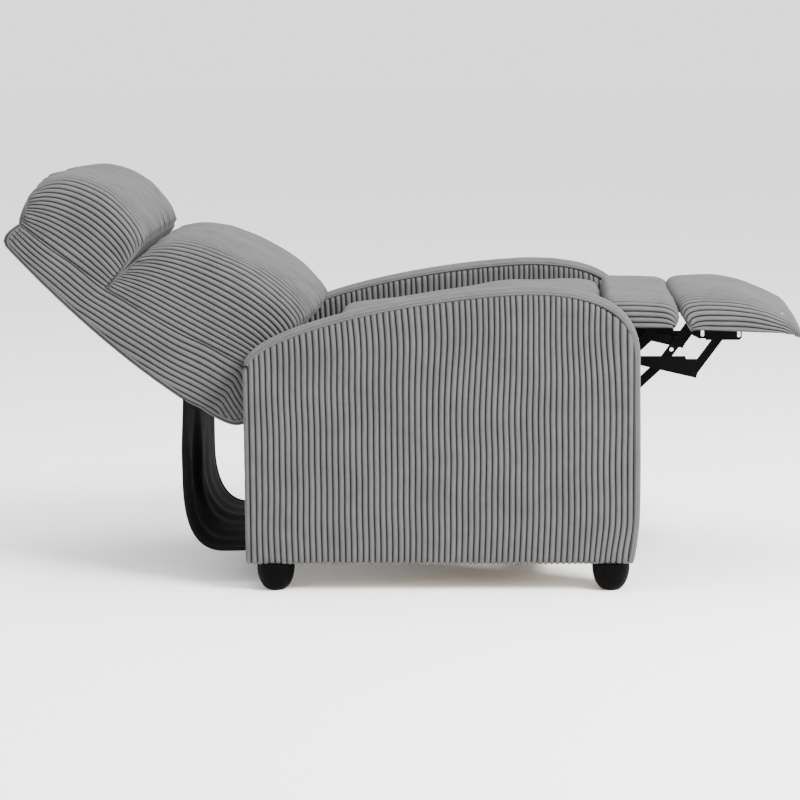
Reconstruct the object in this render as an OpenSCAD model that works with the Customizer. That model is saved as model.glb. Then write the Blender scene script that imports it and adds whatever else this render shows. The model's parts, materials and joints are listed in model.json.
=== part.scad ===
// Push-back recliner armchair, modelled fully reclined with its footrest out.
// +X is the chair's front, +Y the sitter's left, +Z up; the origin is on the floor, midway
// between the four feet. Millimetres.

/* [Arms] */
// Length of an arm, front to back
arm_length = 792; // [780:1:800]
// Thickness of an arm
arm_thickness = 80; // [76:1:84]
// Height of an arm's highest point above the floor
arm_height = 616; // [612:1:622]
// Height of an arm's rear top corner
arm_rear_height = 468; // [460:1:474]
// Depth of the padded band over an arm's edge
arm_band = 14; // [10:1:16]
// Width of the opening between the arms
opening_width = 520; // [516:1:524]

/* [Feet] */
// Height of a foot
foot_height = 57; // [50:1:60]
// Diameter of a foot at its top
foot_top_dia = 76; // [70:1:78]
// Diameter of a foot's flat on the floor
foot_floor_dia = 30; // [24:1:36]
// Distance between front and rear feet, centre to centre
foot_spacing_x = 680; // [670:1:690]
// Distance between left and right feet, centre to centre
foot_spacing_y = 600; // [596:1:604]
// Diameter of the glide screw hole under a foot
glide_hole_dia = 5; // [4:0.5:6]

/* [Seat] */
// Width of the seat, back and footrest upholstery
pad_width = 508; // [500:2:512]
// Height of the seat frame's underside, footrest out
seat_frame_z = 462; // [460:1:464]
// Height of the seat cushion's crown
seat_crown_z = 594; // [585:1:600]

/* [Backrest] */
// Angle between the upright and the fully reclined backrest
recline_angle = 40; // [36:1:42]
// Backrest hinge, distance behind the origin
back_hinge_x = -300; // [-302:1:-298]
// Backrest hinge, height
back_hinge_z = 330; // [328:1:332]

/* [Mechanism] */
// Thickness of the mechanism's steel bars
bar_thickness = 3; // [2:0.5:3.5]
// Width of the mechanism's steel bars
bar_width = 19; // [17:1:20]
// Diameter of the rivets
rivet_dia = 8; // [7:0.5:9]
// Length of a lift link, pivot to pivot
lift_link = 120; // [118:1:122]

/* [Rear cloth] */
// Thickness of the dust cloth
cloth_thickness = 2; // [1.5:0.5:2.5]
// Radius of the dust cloth's bend
cloth_bend = 80; // [70:1:90]

/* [Hidden] */
$fn = 48;

LEFT = 1;
RIGHT = -1;
SIDES = [LEFT, RIGHT];

fabric = "#8a8a8a";
steel = "#1a1a1c";
timber = "#c8a878";
plastic = "#161618";
cloth = "#26262a";

bolt_dia = 8;            // foot bolts
bolt_hole_dia = 8.2;
gap = 0.2;               // face-to-face gap between pieces that stay together
pivot_gap = 0.05;        // radial running clearance of a rivet in a bar
open_gap = 0.5;          // radial clearance at a pivot that closes a linkage loop
rivet_r = rivet_dia / 2;
rivet_head_r = 6.5;

arm_inner_y = opening_width / 2;
arm_outer_y = arm_inner_y + arm_thickness;
arm_wall = 15;           // padded side panel
arm_x = arm_length / 2;
arm_wood = 46;           // width of the arm frame's members

// Distances of the mechanism's layers from the chair's centre plane, outermost first
base_layer = 246;
lift_layer = 241;
seat_layer = 236;
swing_layer = 232;
carrier_layer = 228;
long_layer = 224;
tie_layer = 220;
plate_thickness = 4;

// Pivots in the X-Z plane, footrest out
back_pivot = [back_hinge_x, back_hinge_z];
lift_angle = 164;        // a lift link's direction, footrest out
front_base_pivot = [230, 390];
rear_base_pivot = [-40, 390];
front_seat_pivot = front_base_pivot + polar(lift_link, lift_angle);
rear_seat_pivot = rear_base_pivot + polar(lift_link, lift_angle);
flap_pivot = [325, 527];
swing_pivot = [306.4, 419];
carrier_angle = -13.6;   // the footrest parallelograms' lower side
link_angle = 53.7;       // and their rising sides
tail_angle = 223;        // the long links' tails
carrier_rear = swing_pivot + polar(87.3, 32.6);
carrier_middle = carrier_rear + polar(64, carrier_angle);
carrier_front = carrier_middle + polar(68, carrier_angle);
long_top = carrier_middle + polar(93, link_angle);
outer_top = carrier_front + polar(93, link_angle);
tie_rear = carrier_rear + polar(54, link_angle);
tie_front = carrier_middle + polar(54, link_angle);

pad_y = pad_width / 2;
frame_y = 218;           // half width of the timber inside the seat, flap and footrest
board_thickness = 12;
rail_thickness = 22;     // timber rails across the chair
seat_rail = [33, 38];    // width and height of the seat frame's rails
spring_thickness = 4;
spring_wave = 18;        // how far a zigzag spring swings to each side
spring_wire = 5;
spring_rows = [-140 : 70 : 140];

// The backrest is laid out upright, then reclined about its hinge
shell_rear_top = [-505, 983];
shell_front_top = [-457, 991];
shell_seam = [-410, 785];
shell_front_low = [-298, 493];
shell_heel = [-439, 519];
shell_wall = 10;

function polar(length, angle) = length * [cos(angle), sin(angle)];
function bezier(p, steps = 12) = [for (i = [0:steps]) let (t = i / steps, s = 1 - t)
    s * s * s * p[0] + 3 * s * s * t * p[1] + 3 * s * t * t * p[2] + t * t * t * p[3]];
function arc(centre, r, from, to, steps = 12) =
    [for (i = [0:steps]) centre + polar(r, from + (to - from) * i / steps)];

// Turns an X-Z outline into a plate between two distances from the centre plane, on one side
module plate(y0, y1, side) {
    translate([0, side > 0 ? y1 : -y0, 0]) rotate([90, 0, 0]) linear_extrude(y1 - y0) children();
}

// The same, right across the chair
module across(half_width) {
    translate([0, half_width, 0]) rotate([90, 0, 0]) linear_extrude(2 * half_width) children();
}

module disc(p, r) {
    translate(p) circle(r);
}

// Flat bar between two points, with round ends a little wider than its shank
module bar(a, b, width) {
    d = b - a;
    shank = width - 1;
    disc(a, width / 2);
    disc(b, width / 2);
    translate(a) rotate(atan2(d.y, d.x)) translate([0, -shank / 2]) square([norm(d), shank]);
}

// Recess in a pad's underside, on both sides, that the folding links swing into
module link_room(x, z) {
    for (side = SIDES) plate(frame_y, seat_layer + 1, side)
        translate([x[0], z[0]]) square([x[1] - x[0], z[1] - z[0]]);
}

// Box given by its X, Y and Z ranges
module block(x, y, z) {
    translate([x[0], y[0], z[0]]) cube([x[1] - x[0], y[1] - y[0], z[1] - z[0]]);
}

// Rivet through the layers from y0 to y1, with a head on its outer end
module rivet(p, y0, y1, side, head = 0.8) {
    plate(y0, y1, side) disc(p, rivet_r);
    plate(y1, y1 + head, side) disc(p, rivet_head_r);
}

// Places upright backrest geometry in the reclined position
module reclined() {
    translate([back_pivot.x, 0, back_pivot.y]) rotate([0, -recline_angle, 0])
        translate([-back_pivot.x, 0, -back_pivot.y]) children();
}

// ---- Arms ----

// Side outline of an arm, drawn in by inset
module arm_outline(inset, bottom) {
    rear = -arm_x + inset;
    front = arm_x + 1 - inset;
    top = arm_height - inset;
    crown = concat(
        bezier([[rear, arm_rear_height - inset], [rear + 26, top - 78], [rear + 341, top - 8], [170, top]]),
        bezier([[170, top], [front - 87, top], [front + 3, top - 32], [front, top - 147]]));
    polygon(concat([[rear, bottom]], crown, [[front, bottom]]));
}

module arm_frame(side) {
    color(timber) difference() {
        plate(arm_inner_y + arm_wall + gap, arm_outer_y - arm_wall - gap, side) difference() {
            arm_outline(arm_band + gap, foot_height + gap);
            difference() {
                arm_outline(arm_band + arm_wood, foot_height + arm_wood);
                translate([-arm_wood / 2, 0]) square([arm_wood, arm_height]);
            }
        }
        for (x = [-1, 1])
            translate([x * foot_spacing_x / 2, side * foot_spacing_y / 2, foot_height - 1])
                cylinder(h = 32, d = bolt_hole_dia);
    }
}

module arm_panel(y0, side) {
    color(fabric) plate(y0, y0 + arm_wall, side) arm_outline(arm_band + gap, foot_height);
}

module arm_top_band(side) {
    color(fabric) plate(arm_inner_y, arm_outer_y, side) difference() {
        arm_outline(0, foot_height);
        arm_outline(arm_band, foot_height - 1);
    }
}

// ---- Feet and base frame ----

module foot(end, side) {
    top_r = foot_top_dia / 2;
    floor_r = foot_floor_dia / 2;
    color(plastic) translate([end * foot_spacing_x / 2, side * foot_spacing_y / 2, 0]) difference() {
        rotate_extrude() polygon(concat(
            [[0, 0]],
            bezier([[floor_r, 0], [top_r - 11, 2], [top_r - 1, 22], [top_r, 44]], 8),
            [[top_r, foot_height - gap], [0, foot_height - gap]]));
        translate([0, 0, -1]) cylinder(h = 19, d = glide_hole_dia);
        translate([0, 0, 28]) cylinder(h = foot_height, d = bolt_hole_dia);
    }
}

module foot_bolts() {
    color("silver") for (side = SIDES, end = [-1, 1])
        translate([end * foot_spacing_x / 2, side * foot_spacing_y / 2, 29]) cylinder(h = 56, d = bolt_dia);
}

module front_cross_rail() {
    color(timber) block([235, 235 + rail_thickness], [-arm_inner_y + gap, arm_inner_y - gap], [62, 150]);
}

module rear_cross_rail() {
    color(timber) block([-385, -385 + rail_thickness], [-arm_inner_y + gap, arm_inner_y - gap], [73, 130]);
}

module mounting_boards() {
    y0 = base_layer + plate_thickness + gap;
    color(timber) for (side = SIDES)
        plate(y0, arm_inner_y - gap, side) translate([-360, 152]) square([610, 148]);
}

module base_side_plate(side) {
    color(steel) difference() {
        plate(base_layer, base_layer + plate_thickness, side) difference() {
            union() {
                translate([-330, 250]) square([590, 60]);
                bar(front_base_pivot, [front_base_pivot.x, 280], 32);
                bar(rear_base_pivot, [rear_base_pivot.x, 280], 32);
                bar(back_pivot, [back_pivot.x, 280], 32);
            }
            for (x = [-260 : 130 : 130]) disc([x, 266], 10);
        }
        for (p = [front_base_pivot, rear_base_pivot, back_pivot])
            plate(base_layer - 1, base_layer + 6, side) disc(p, rivet_r + pivot_gap);
    }
}

module base_rivets() {
    color(steel) for (side = SIDES, p = [front_base_pivot, rear_base_pivot, back_pivot])
        rivet(p, lift_layer - 0.5, base_layer + plate_thickness, side, 1.5);
}

// Dust cloth from the backrest's heel down and under to the rear cross rail
module rear_dust_cloth() {
    x = -531;
    low = 69;
    bend = [x + cloth_bend, low + cloth_bend];
    t = cloth_thickness;
    color(cloth) across(250) polygon(concat(
        [[x, 383]], arc(bend, cloth_bend, 180, 270), [[-363, low]],
        [[-363, low + t]], arc(bend, cloth_bend - t, 270, 180), [[x + t, 383]]));
}

// ---- Lift links ----

module lift_links(base_end, seat_end, seat_gap) {
    color(steel) for (side = SIDES) plate(lift_layer, lift_layer + plate_thickness, side) difference() {
        bar(base_end, seat_end, 24);
        disc(base_end, rivet_r + pivot_gap);
        disc(seat_end, rivet_r + seat_gap);
    }
}

// ---- Seat ----

module seat_side_plate(side) {
    color(steel) plate(seat_layer, seat_layer + plate_thickness - gap, side) difference() {
        union() {
            translate([-190, 440]) square([516, 58]);
            bar(front_seat_pivot, [front_seat_pivot.x, 450], 30);
            bar(rear_seat_pivot, [rear_seat_pivot.x, 450], 30);
            bar(swing_pivot, [swing_pivot.x + 4, 450], 28);
        }
        for (p = [front_seat_pivot, rear_seat_pivot, swing_pivot]) disc(p, rivet_r + pivot_gap);
        for (x = [-60 : 110 : 160]) disc([x, 478], 9);
    }
}

module seat_side_rails() {
    color(timber) for (side = SIDES)
        plate(frame_y - seat_rail[0], frame_y, side)
            translate([-215, seat_frame_z]) square([485, seat_rail[1]]);
}

module seat_cross_rails() {
    color(timber) for (x = [[-215, -180], [270.2, 308]])
        block(x, x[0] < 0 ? [seat_rail[0] - frame_y + gap, frame_y - seat_rail[0] - gap] : [-frame_y, frame_y],
            [seat_frame_z, seat_frame_z + seat_rail[1]]);
}

module seat_cross_tubes() {
    color(steel) for (x = [-100, 60]) translate([x, 0, seat_frame_z - 10 - gap]) rotate([90, 0, 0])
        difference() {
            cylinder(h = 2 * seat_layer - 2 * gap, r = 10, center = true);
            cylinder(h = 2 * seat_layer + 2, r = 8, center = true);
        }
}

// Zigzag spring lying flat: a sine wave of constant width between two ends
module zigzag(length, waves, amplitude, width) {
    steps = 12 * waves;
    function wave(i, off) = [length * i / steps, off + amplitude * sin(360 * waves * i / steps)];
    polygon(concat([for (i = [0:steps]) wave(i, width / 2)],
        [for (i = [steps:-1:0]) wave(i, -width / 2)]));
}

module seat_springs() {
    color("silver") for (y = spring_rows) translate([-179.5, y, 486])
        linear_extrude(spring_thickness) zigzag(449, 9, spring_wave, spring_wire);
}

module seat_cushion() {
    rear = -235;
    front = 313;
    lip = 323;           // overhangs the flap's hinge
    bottom = 501;
    color(fabric) difference() {
        across(pad_y) polygon(concat([[rear + 20, bottom]],
            bezier([[rear, seat_crown_z - 72], [rear + 175, seat_crown_z - 49],
                [60, seat_crown_z - 2], [200, seat_crown_z]]),
            arc([lip - 10, seat_crown_z - 10], 10, 90, 0, 4),
            [[lip, bottom + 54], [front, bottom + 46], [front, bottom]]));
        link_room([front - 36, front + 1], [bottom - 1, bottom + 40]);
    }
}

module seat_rivets() {
    color(steel) for (side = SIDES) {
        rivet(swing_pivot, swing_layer - 0.4, seat_layer + plate_thickness, side);
        for (p = [front_seat_pivot, rear_seat_pivot])
            plate(seat_layer - 1.5, lift_layer + plate_thickness + 0.5, side) disc(p, rivet_r);
        rivet(flap_pivot, 149.5, 160.5, side);
    }
}

module seat_hinge_brackets() {
    color(steel) for (side = SIDES) plate(150, 154, side) difference() {
        union() {
            translate([308.2, seat_frame_z + 2]) square([10, 36]);
            bar([318, 492], flap_pivot, 12);
            disc(flap_pivot, 9);
        }
        translate([300, 480]) square([8.2, 40]);
        disc(flap_pivot, rivet_r + pivot_gap);
    }
}

// ---- Flap between seat and footrest ----

module flap_board() {
    color(timber) block([345, 468], [-frame_y, frame_y], [529, 529 + board_thickness - gap]);
}

module flap_hinge_arms() {
    color(steel) for (side = SIDES) plate(156, 160, side) difference() {
        union() {
            disc(flap_pivot, 9);
            translate([flap_pivot.x, 519]) square([75, 10 - gap]);
        }
        disc(flap_pivot, rivet_r + pivot_gap);
    }
}

module flap_pad() {
    rear = 328;
    front = 474;
    bottom = 529 + board_thickness;
    color(fabric) difference() {
        across(pad_y) polygon(concat([[rear, bottom]],
            arc([rear + 16, seat_crown_z - 16], 16, 180, 90, 4),
            arc([front - 22, seat_crown_z - 26], 22, 90, 0, 4), [[front, bottom]]));
        link_room([rear + 10, front + 1], [bottom - 1, bottom + 28]);
    }
}

// ---- Footrest linkage ----

// Bar of the linkage with a hole at each end
module link(a, b, layer, side, a_gap = pivot_gap, b_gap = pivot_gap) {
    color(steel) plate(layer, layer + bar_thickness, side) difference() {
        bar(a, b, bar_width);
        disc(a, rivet_r + a_gap);
        disc(b, rivet_r + b_gap);
    }
}

module carrier(side) {
    end_r = 13;
    n = polar(end_r, carrier_angle + 90);
    color(steel) plate(carrier_layer, carrier_layer + bar_thickness, side) difference() {
        union() {
            polygon([carrier_rear - n, [514, 422], [517, 434], [517, 461], [493, 461], [492, 467],
                [402, 467], carrier_rear + n]);
            disc(carrier_rear, end_r);
        }
        for (p = [carrier_rear, carrier_middle, carrier_front]) disc(p, rivet_r + pivot_gap);
    }
}

module carrier_rivets() {
    color(steel) for (side = SIDES) {
        rivet(carrier_rear, long_layer + gap, swing_layer + bar_thickness, side);
        rivet(carrier_middle, tie_layer - 0.4, carrier_layer + bar_thickness, side);
        rivet(carrier_front, long_layer - 0.4, carrier_layer + bar_thickness, side);
    }
}

// Long link: cranked at the carrier, where its tail runs on to the rear, one layer further in
module long_link(side) {
    tail = carrier_middle + polar(70, tail_angle);
    color(steel) union() {
        plate(long_layer, long_layer + bar_thickness, side) difference() {
            bar(carrier_middle, long_top, bar_width);
            disc(carrier_middle, rivet_r + pivot_gap);
            disc(carrier_middle + polar(36, link_angle), rivet_r);
            disc(tie_front, rivet_r + open_gap);
            disc(long_top, rivet_r + pivot_gap);
        }
        plate(tie_layer, long_layer - 2 * gap, side) difference() {
            bar(tail, carrier_middle, bar_width);
            disc(tail, rivet_r);
            disc(carrier_middle, rivet_r + pivot_gap);
        }
        plate(tie_layer, long_layer + 1, side) difference() {
            disc(carrier_middle, 9);
            disc(carrier_middle, rivet_r + pivot_gap);
        }
    }
}

module short_link(side) {
    top = carrier_rear + polar(70, link_angle - 1.5);
    color(steel) plate(long_layer, long_layer + bar_thickness, side) difference() {
        bar(carrier_rear, top, bar_width);
        disc(carrier_rear, rivet_r + pivot_gap);
        disc(tie_rear, rivet_r + pivot_gap);
        disc(top, 3.5);
    }
}

module tie_rivets() {
    color(steel) for (side = SIDES, p = [tie_rear, tie_front]) {
        plate(tie_layer - 0.8, tie_layer - gap, side) disc(p, rivet_head_r);
        plate(tie_layer - gap, long_layer + bar_thickness + 0.4, side) disc(p, rivet_r);
    }
}

// ---- Footrest ----

module footrest_bracket(side) {
    flange_z = 541;
    slot_width = 7;
    color(steel) union() {
        plate(carrier_layer, carrier_layer + bar_thickness, side) difference() {
            union() {
                disc(long_top, 10);
                polygon([[long_top.x, flange_z], [long_top.x - 6, long_top.y - 8], [513, 506], [519, 503],
                    [532, 503], [532, 500], [601, 500], [606, 505], [606, flange_z]]);
            }
            for (p = [[526, 513.6], [600, 512]]) bar(p - [0, 3], p + [0, 3], slot_width);
            disc(long_top, rivet_r + pivot_gap);
            disc(outer_top, rivet_r + pivot_gap);
        }
        plate(200, carrier_layer + bar_thickness, side)
            translate([510, flange_z - bar_thickness]) square([96, bar_thickness]);
    }
}

module footrest_board() {
    color(timber) block([502, 690], [-frame_y, frame_y], [541 + gap, 541 + board_thickness]);
}

module footrest_pad() {
    rear = 477;
    front = 733;
    bottom = 541 + board_thickness + gap;
    color(fabric) intersection() {
        across(pad_y) polygon(concat([[rear, bottom]],
            bezier([[rear, bottom + 10], [rear + 6, 603], [520, 606], [565, 606]], 8),
            bezier([[565, 606], [645, 606], [front, 580], [front, bottom]], 10)));
        linear_extrude(700) union() {
            translate([rear - 1, -pad_y]) square([front - rear - 59, pad_width]);
            translate([front - 61, -pad_y + 60]) square([61, pad_width - 120]);
            for (side = SIDES) translate([front - 60, side * (pad_y - 60)]) circle(60);
        }
    }
}

module footrest_rivets() {
    color(steel) for (side = SIDES, p = [long_top, outer_top])
        rivet(p, long_layer - 0.4, carrier_layer + bar_thickness, side);
}

// ---- Backrest ----

module shell_outline() {
    polygon([shell_rear_top, shell_front_top, shell_seam, [-337, 587], shell_front_low,
        [-332, 401], [-379, 401], [-389, 410], [-411, 437], [-423, 485], shell_heel]);
}

// Hollow inside the shell, open towards the cushions and below
module shell_cavity() {
    w = shell_wall;
    polygon([[-492, 965], [-440, 972], [-395, 790], [-320, 592], [-280, 493], [-310, 395],
        [-372, 395], [-372, 415], [-402, 445], [-412, 488], shell_heel + [w, 2]]);
}

module back_shell() {
    color(fabric) reclined() difference() {
        across(pad_y) shell_outline();
        across(pad_y - shell_wall) shell_cavity();
    }
}

module back_side_rails() {
    color(timber) reclined() for (side = SIDES) plate(frame_y, 240, side)
        polygon([[-488, 955], [-464, 955], [-422, 785], [-352, 592], [-318, 500], [-345, 415],
            [-372, 430], [-400, 490], [-424, 530]]);
}

module back_cross_rails() {
    y = [-frame_y + gap, frame_y - gap];
    color(timber) reclined() {
        for (p = [[-479, 900, 945], [-449, 690, 730], [-398, 455, 510]])
            block([p[0], p[0] + rail_thickness], y, [p[1], p[2]]);
    }
}

module back_springs() {
    low = [-356, 470];
    high = [-436, 810];
    d = high - low;
    color("silver") reclined() for (y = spring_rows)
        translate([low.x, y, low.y]) rotate([0, -atan2(d.y, d.x), 0])
            translate([0, 0, -spring_thickness / 2]) linear_extrude(spring_thickness)
                zigzag(norm(d), 7, spring_wave, spring_wire);
}

module lumbar_cushion() {
    color(fabric) reclined() across(pad_y) polygon(concat(
        [[-240, 466], shell_front_low + [1.5, -18], shell_front_low + [1.5, -2], [-336, 588], shell_seam + [1.5, 2]],
        bezier([[-273, 794], [-180, 750], [-108, 610], [-106, 500]]), [[-128, 474]]));
}

module head_pillow() {
    color(fabric) reclined() across(pad_y) polygon(concat([shell_seam + [1.5, 4]],
        bezier([[-455, 992], [-445, 1025], [-415, 1040], [-383, 1040]], 6),
        bezier([[-383, 1040], [-320, 1040], [-252, 960], [-252, 870]], 10),
        bezier([[-252, 870], [-252, 840], [-262, 812], [-275, 797]], 4)));
}

module back_hinge_brackets() {
    color(steel) reclined() for (side = SIDES) plate(240 + gap, 240 + plate_thickness, side)
        difference() {
            union() {
                bar(back_pivot, [-345, 440], 28);
                bar([-345, 440], [-375, 560], 28);
            }
            disc(back_pivot, rivet_r + pivot_gap);
        }
}

arm_frame(LEFT);  // arm_frame_left
arm_frame(RIGHT);  // arm_frame_right
arm_panel(arm_outer_y - arm_wall, LEFT);  // arm_outer_panel_left
arm_panel(arm_outer_y - arm_wall, RIGHT);  // arm_outer_panel_right
arm_panel(arm_inner_y, LEFT);  // arm_inner_panel_left
arm_panel(arm_inner_y, RIGHT);  // arm_inner_panel_right
arm_top_band(LEFT);  // arm_top_band_left
arm_top_band(RIGHT);  // arm_top_band_right
foot(1, LEFT);  // foot_front_left
foot(1, RIGHT);  // foot_front_right
foot(-1, LEFT);  // foot_rear_left
foot(-1, RIGHT);  // foot_rear_right
foot_bolts();
front_cross_rail();
rear_cross_rail();
mounting_boards();
base_side_plate(LEFT);  // base_side_plate_left
base_side_plate(RIGHT);  // base_side_plate_right
base_rivets();
rear_dust_cloth();
lift_links(front_base_pivot, front_seat_pivot, pivot_gap);  // front_lift_links
lift_links(rear_base_pivot, rear_seat_pivot, open_gap);  // rear_lift_links
seat_side_plate(LEFT);  // seat_side_plate_left
seat_side_plate(RIGHT);  // seat_side_plate_right
seat_side_rails();
seat_cross_rails();
seat_cross_tubes();
seat_springs();
seat_cushion();
seat_rivets();
seat_hinge_brackets();
flap_board();
flap_pad();
flap_hinge_arms();
link(swing_pivot, carrier_rear, swing_layer, LEFT);  // swing_link_left
link(swing_pivot, carrier_rear, swing_layer, RIGHT);  // swing_link_right
carrier(LEFT);  // carrier_left
carrier(RIGHT);  // carrier_right
carrier_rivets();
long_link(LEFT);  // long_link_left
long_link(RIGHT);  // long_link_right
short_link(LEFT);  // short_link_left
short_link(RIGHT);  // short_link_right
link(tie_rear, tie_front, tie_layer, LEFT);  // tie_link_left
link(tie_rear, tie_front, tie_layer, RIGHT);  // tie_link_right
tie_rivets();
link(carrier_front, outer_top, long_layer, LEFT, pivot_gap, open_gap);  // outer_link_left
link(carrier_front, outer_top, long_layer, RIGHT, pivot_gap, open_gap);  // outer_link_right
footrest_bracket(LEFT);  // footrest_bracket_left
footrest_bracket(RIGHT);  // footrest_bracket_right
footrest_board();
footrest_pad();
footrest_rivets();
back_side_rails();
back_cross_rails();
back_springs();
back_shell();
lumbar_cushion();
head_pillow();
back_hinge_brackets();
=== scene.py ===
"""Push-back recliner in ribbed corduroy: soft goods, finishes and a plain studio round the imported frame."""

import json
import logging
import math
from dataclasses import dataclass, field
from enum import Enum
from typing import Any, Sequence

import bmesh
import bpy
import numpy as np
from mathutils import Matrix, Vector


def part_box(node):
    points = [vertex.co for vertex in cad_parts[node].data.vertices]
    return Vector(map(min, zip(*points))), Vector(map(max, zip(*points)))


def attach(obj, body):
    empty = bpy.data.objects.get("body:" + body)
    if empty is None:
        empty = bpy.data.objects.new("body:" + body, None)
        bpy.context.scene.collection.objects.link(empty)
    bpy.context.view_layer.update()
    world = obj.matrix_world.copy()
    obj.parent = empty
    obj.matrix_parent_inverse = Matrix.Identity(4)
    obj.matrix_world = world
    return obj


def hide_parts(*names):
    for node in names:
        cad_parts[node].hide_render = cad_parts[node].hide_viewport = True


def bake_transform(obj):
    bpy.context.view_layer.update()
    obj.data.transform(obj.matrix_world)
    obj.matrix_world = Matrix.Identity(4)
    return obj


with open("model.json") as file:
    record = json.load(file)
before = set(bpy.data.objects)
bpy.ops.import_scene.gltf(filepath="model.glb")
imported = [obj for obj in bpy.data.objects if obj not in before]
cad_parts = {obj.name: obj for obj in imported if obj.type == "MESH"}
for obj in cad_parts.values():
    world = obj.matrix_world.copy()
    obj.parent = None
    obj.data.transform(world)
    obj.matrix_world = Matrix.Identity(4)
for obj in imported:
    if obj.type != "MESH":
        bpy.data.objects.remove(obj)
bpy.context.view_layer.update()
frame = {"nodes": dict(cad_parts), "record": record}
log = logging.getLogger("recliner")

WALE = 0.0118             # width of one wale of the corduroy
COLUMNS_PER_WALE = 8
FINE_ROWS = 2             # rows of the finished cover for each row of its form
FORM_STEP = 0.0125        # distance between a form's rows
SEAM_POINTS = 260         # points along an arm's seam
SEED = 11
LEFT, RIGHT = 1, -1


# ---- Node trees ----


class Wire:
    """A socket of a node tree that can be used in arithmetic."""

    def __init__(self, graph: "Graph", socket: bpy.types.NodeSocket) -> None:
        """Wraps a socket of a graph."""
        self.graph = graph
        self.socket = socket

    def _maths(self, operation: str, *values: Any) -> "Wire":
        """Adds a Math node.

        Args:
            operation: the Math node's operation.
            values: its inputs, as wires or numbers.

        Returns:
            The node's result.
        """
        return self.graph.node("ShaderNodeMath", {"operation": operation}, dict(enumerate(values)))

    def __add__(self, other: Any) -> "Wire":
        """Sum."""
        return self._maths("ADD", self, other)

    __radd__ = __add__

    def __sub__(self, other: Any) -> "Wire":
        """Difference."""
        return self._maths("SUBTRACT", self, other)

    def __rsub__(self, other: Any) -> "Wire":
        """Difference, from a number."""
        return self._maths("SUBTRACT", other, self)

    def __mul__(self, other: Any) -> "Wire":
        """Product."""
        return self._maths("MULTIPLY", self, other)

    __rmul__ = __mul__

    def __pow__(self, other: Any) -> "Wire":
        """Power."""
        return self._maths("POWER", self, other)

    def __abs__(self) -> "Wire":
        """Absolute value."""
        return self._maths("ABSOLUTE", self)

    def cosine(self) -> "Wire":
        """Cosine of an angle in radians."""
        return self._maths("COSINE", self)

    def step(self, low: float, high: float) -> "Wire":
        """Smooth step from 0 at low to 1 at high."""
        return self.graph.node(
            "ShaderNodeMapRange", {"interpolation_type": "SMOOTHSTEP"},
            {"Value": self, "From Min": low, "From Max": high})


class Graph:
    """A node tree under construction."""

    def __init__(self, tree: bpy.types.NodeTree) -> None:
        """Starts with an empty tree."""
        self.tree = tree
        tree.nodes.clear()

    def add(self, kind: str, settings: dict[str, Any] | None = None,
            sockets: dict[Any, Any] | None = None) -> bpy.types.Node:
        """Adds any node.

        Args:
            kind: the node's type.
            settings: its properties, set before its sockets.
            sockets: a value or a wire for each socket, by name or by index.

        Returns:
            The node.
        """
        node = self.tree.nodes.new(kind)
        for name, value in (settings or {}).items():
            setattr(node, name, value)
        for key, value in (sockets or {}).items():
            socket = node.inputs[key]
            if isinstance(key, str) and not socket.enabled:
                socket = next(s for s in node.inputs if s.name == key and s.enabled)
            if isinstance(value, Wire):
                self.tree.links.new(value.socket, socket)
            else:
                socket.default_value = value
        return node

    def node(self, kind: str, settings: dict[str, Any] | None = None,
             sockets: dict[Any, Any] | None = None, output: Any = 0) -> Wire:
        """Adds any node and gives one of its outputs.

        Args:
            kind: the node's type.
            settings: its properties.
            sockets: its inputs.
            output: name or index of the output.

        Returns:
            That output.
        """
        node = self.add(kind, settings, sockets)
        socket = node.outputs[output]
        if not socket.enabled:
            socket = next(s for s in node.outputs if s.enabled)
        return Wire(self, socket)

    def feed(self, node: bpy.types.Node, name: str, wire: Wire) -> None:
        """Links a wire to one of a node's inputs."""
        self.tree.links.new(wire.socket, node.inputs[name])


class GeometryGraph(Graph):
    """A Geometry Nodes tree with named inputs that ends in Realize Instances and Set Material."""

    def __init__(self, name: str, inputs: dict[str, tuple[str, float]]) -> None:
        """Makes the tree.

        Args:
            name: the tree's name.
            inputs: for each input, its socket type and its default.
        """
        tree = bpy.data.node_groups.new(name, "GeometryNodeTree")
        super().__init__(tree)
        face = tree.interface
        face.new_socket("Geometry", in_out="INPUT", socket_type="NodeSocketGeometry")
        for label, (kind, default) in inputs.items():
            face.new_socket(label, in_out="INPUT", socket_type=kind).default_value = default
        face.new_socket("Material", in_out="INPUT", socket_type="NodeSocketMaterial")
        face.new_socket("Geometry", in_out="OUTPUT", socket_type="NodeSocketGeometry")
        self.entry = self.add("NodeGroupInput")

    def input(self, name: str) -> Wire:
        """One of the tree's inputs."""
        return Wire(self, self.entry.outputs[name])

    def close(self, geometry: Wire) -> None:
        """Ends the tree with its geometry."""
        real = self.node("GeometryNodeRealizeInstances", {}, {"Geometry": geometry})
        done = self.node("GeometryNodeSetMaterial", {},
                         {"Geometry": real, "Material": self.input("Material")})
        self.feed(self.add("NodeGroupOutput"), "Geometry", done)

    def bake(self, carrier: bpy.types.Object, name: str, values: dict[str, Any]) -> bpy.types.Object:
        """Runs the tree on an object and replaces that object by a plain mesh.

        Args:
            carrier: the object that the tree starts from. It is removed.
            name: the new piece's name.
            values: the tree's inputs.

        Returns:
            The new piece.
        """
        modifier = carrier.modifiers.new("build", "NODES")
        modifier.node_group = self.tree
        for item in self.tree.interface.items_tree:
            if item.in_out == "INPUT" and item.name in values:
                modifier[item.identifier] = values[item.name]
        carrier.update_tag()
        graph = bpy.context.evaluated_depsgraph_get()
        mesh = bpy.data.meshes.new_from_object(carrier.evaluated_get(graph))
        bpy.data.objects.remove(carrier)
        piece = bpy.data.objects.new(name, mesh)
        bpy.context.scene.collection.objects.link(piece)
        mesh.name = name
        return piece


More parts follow.
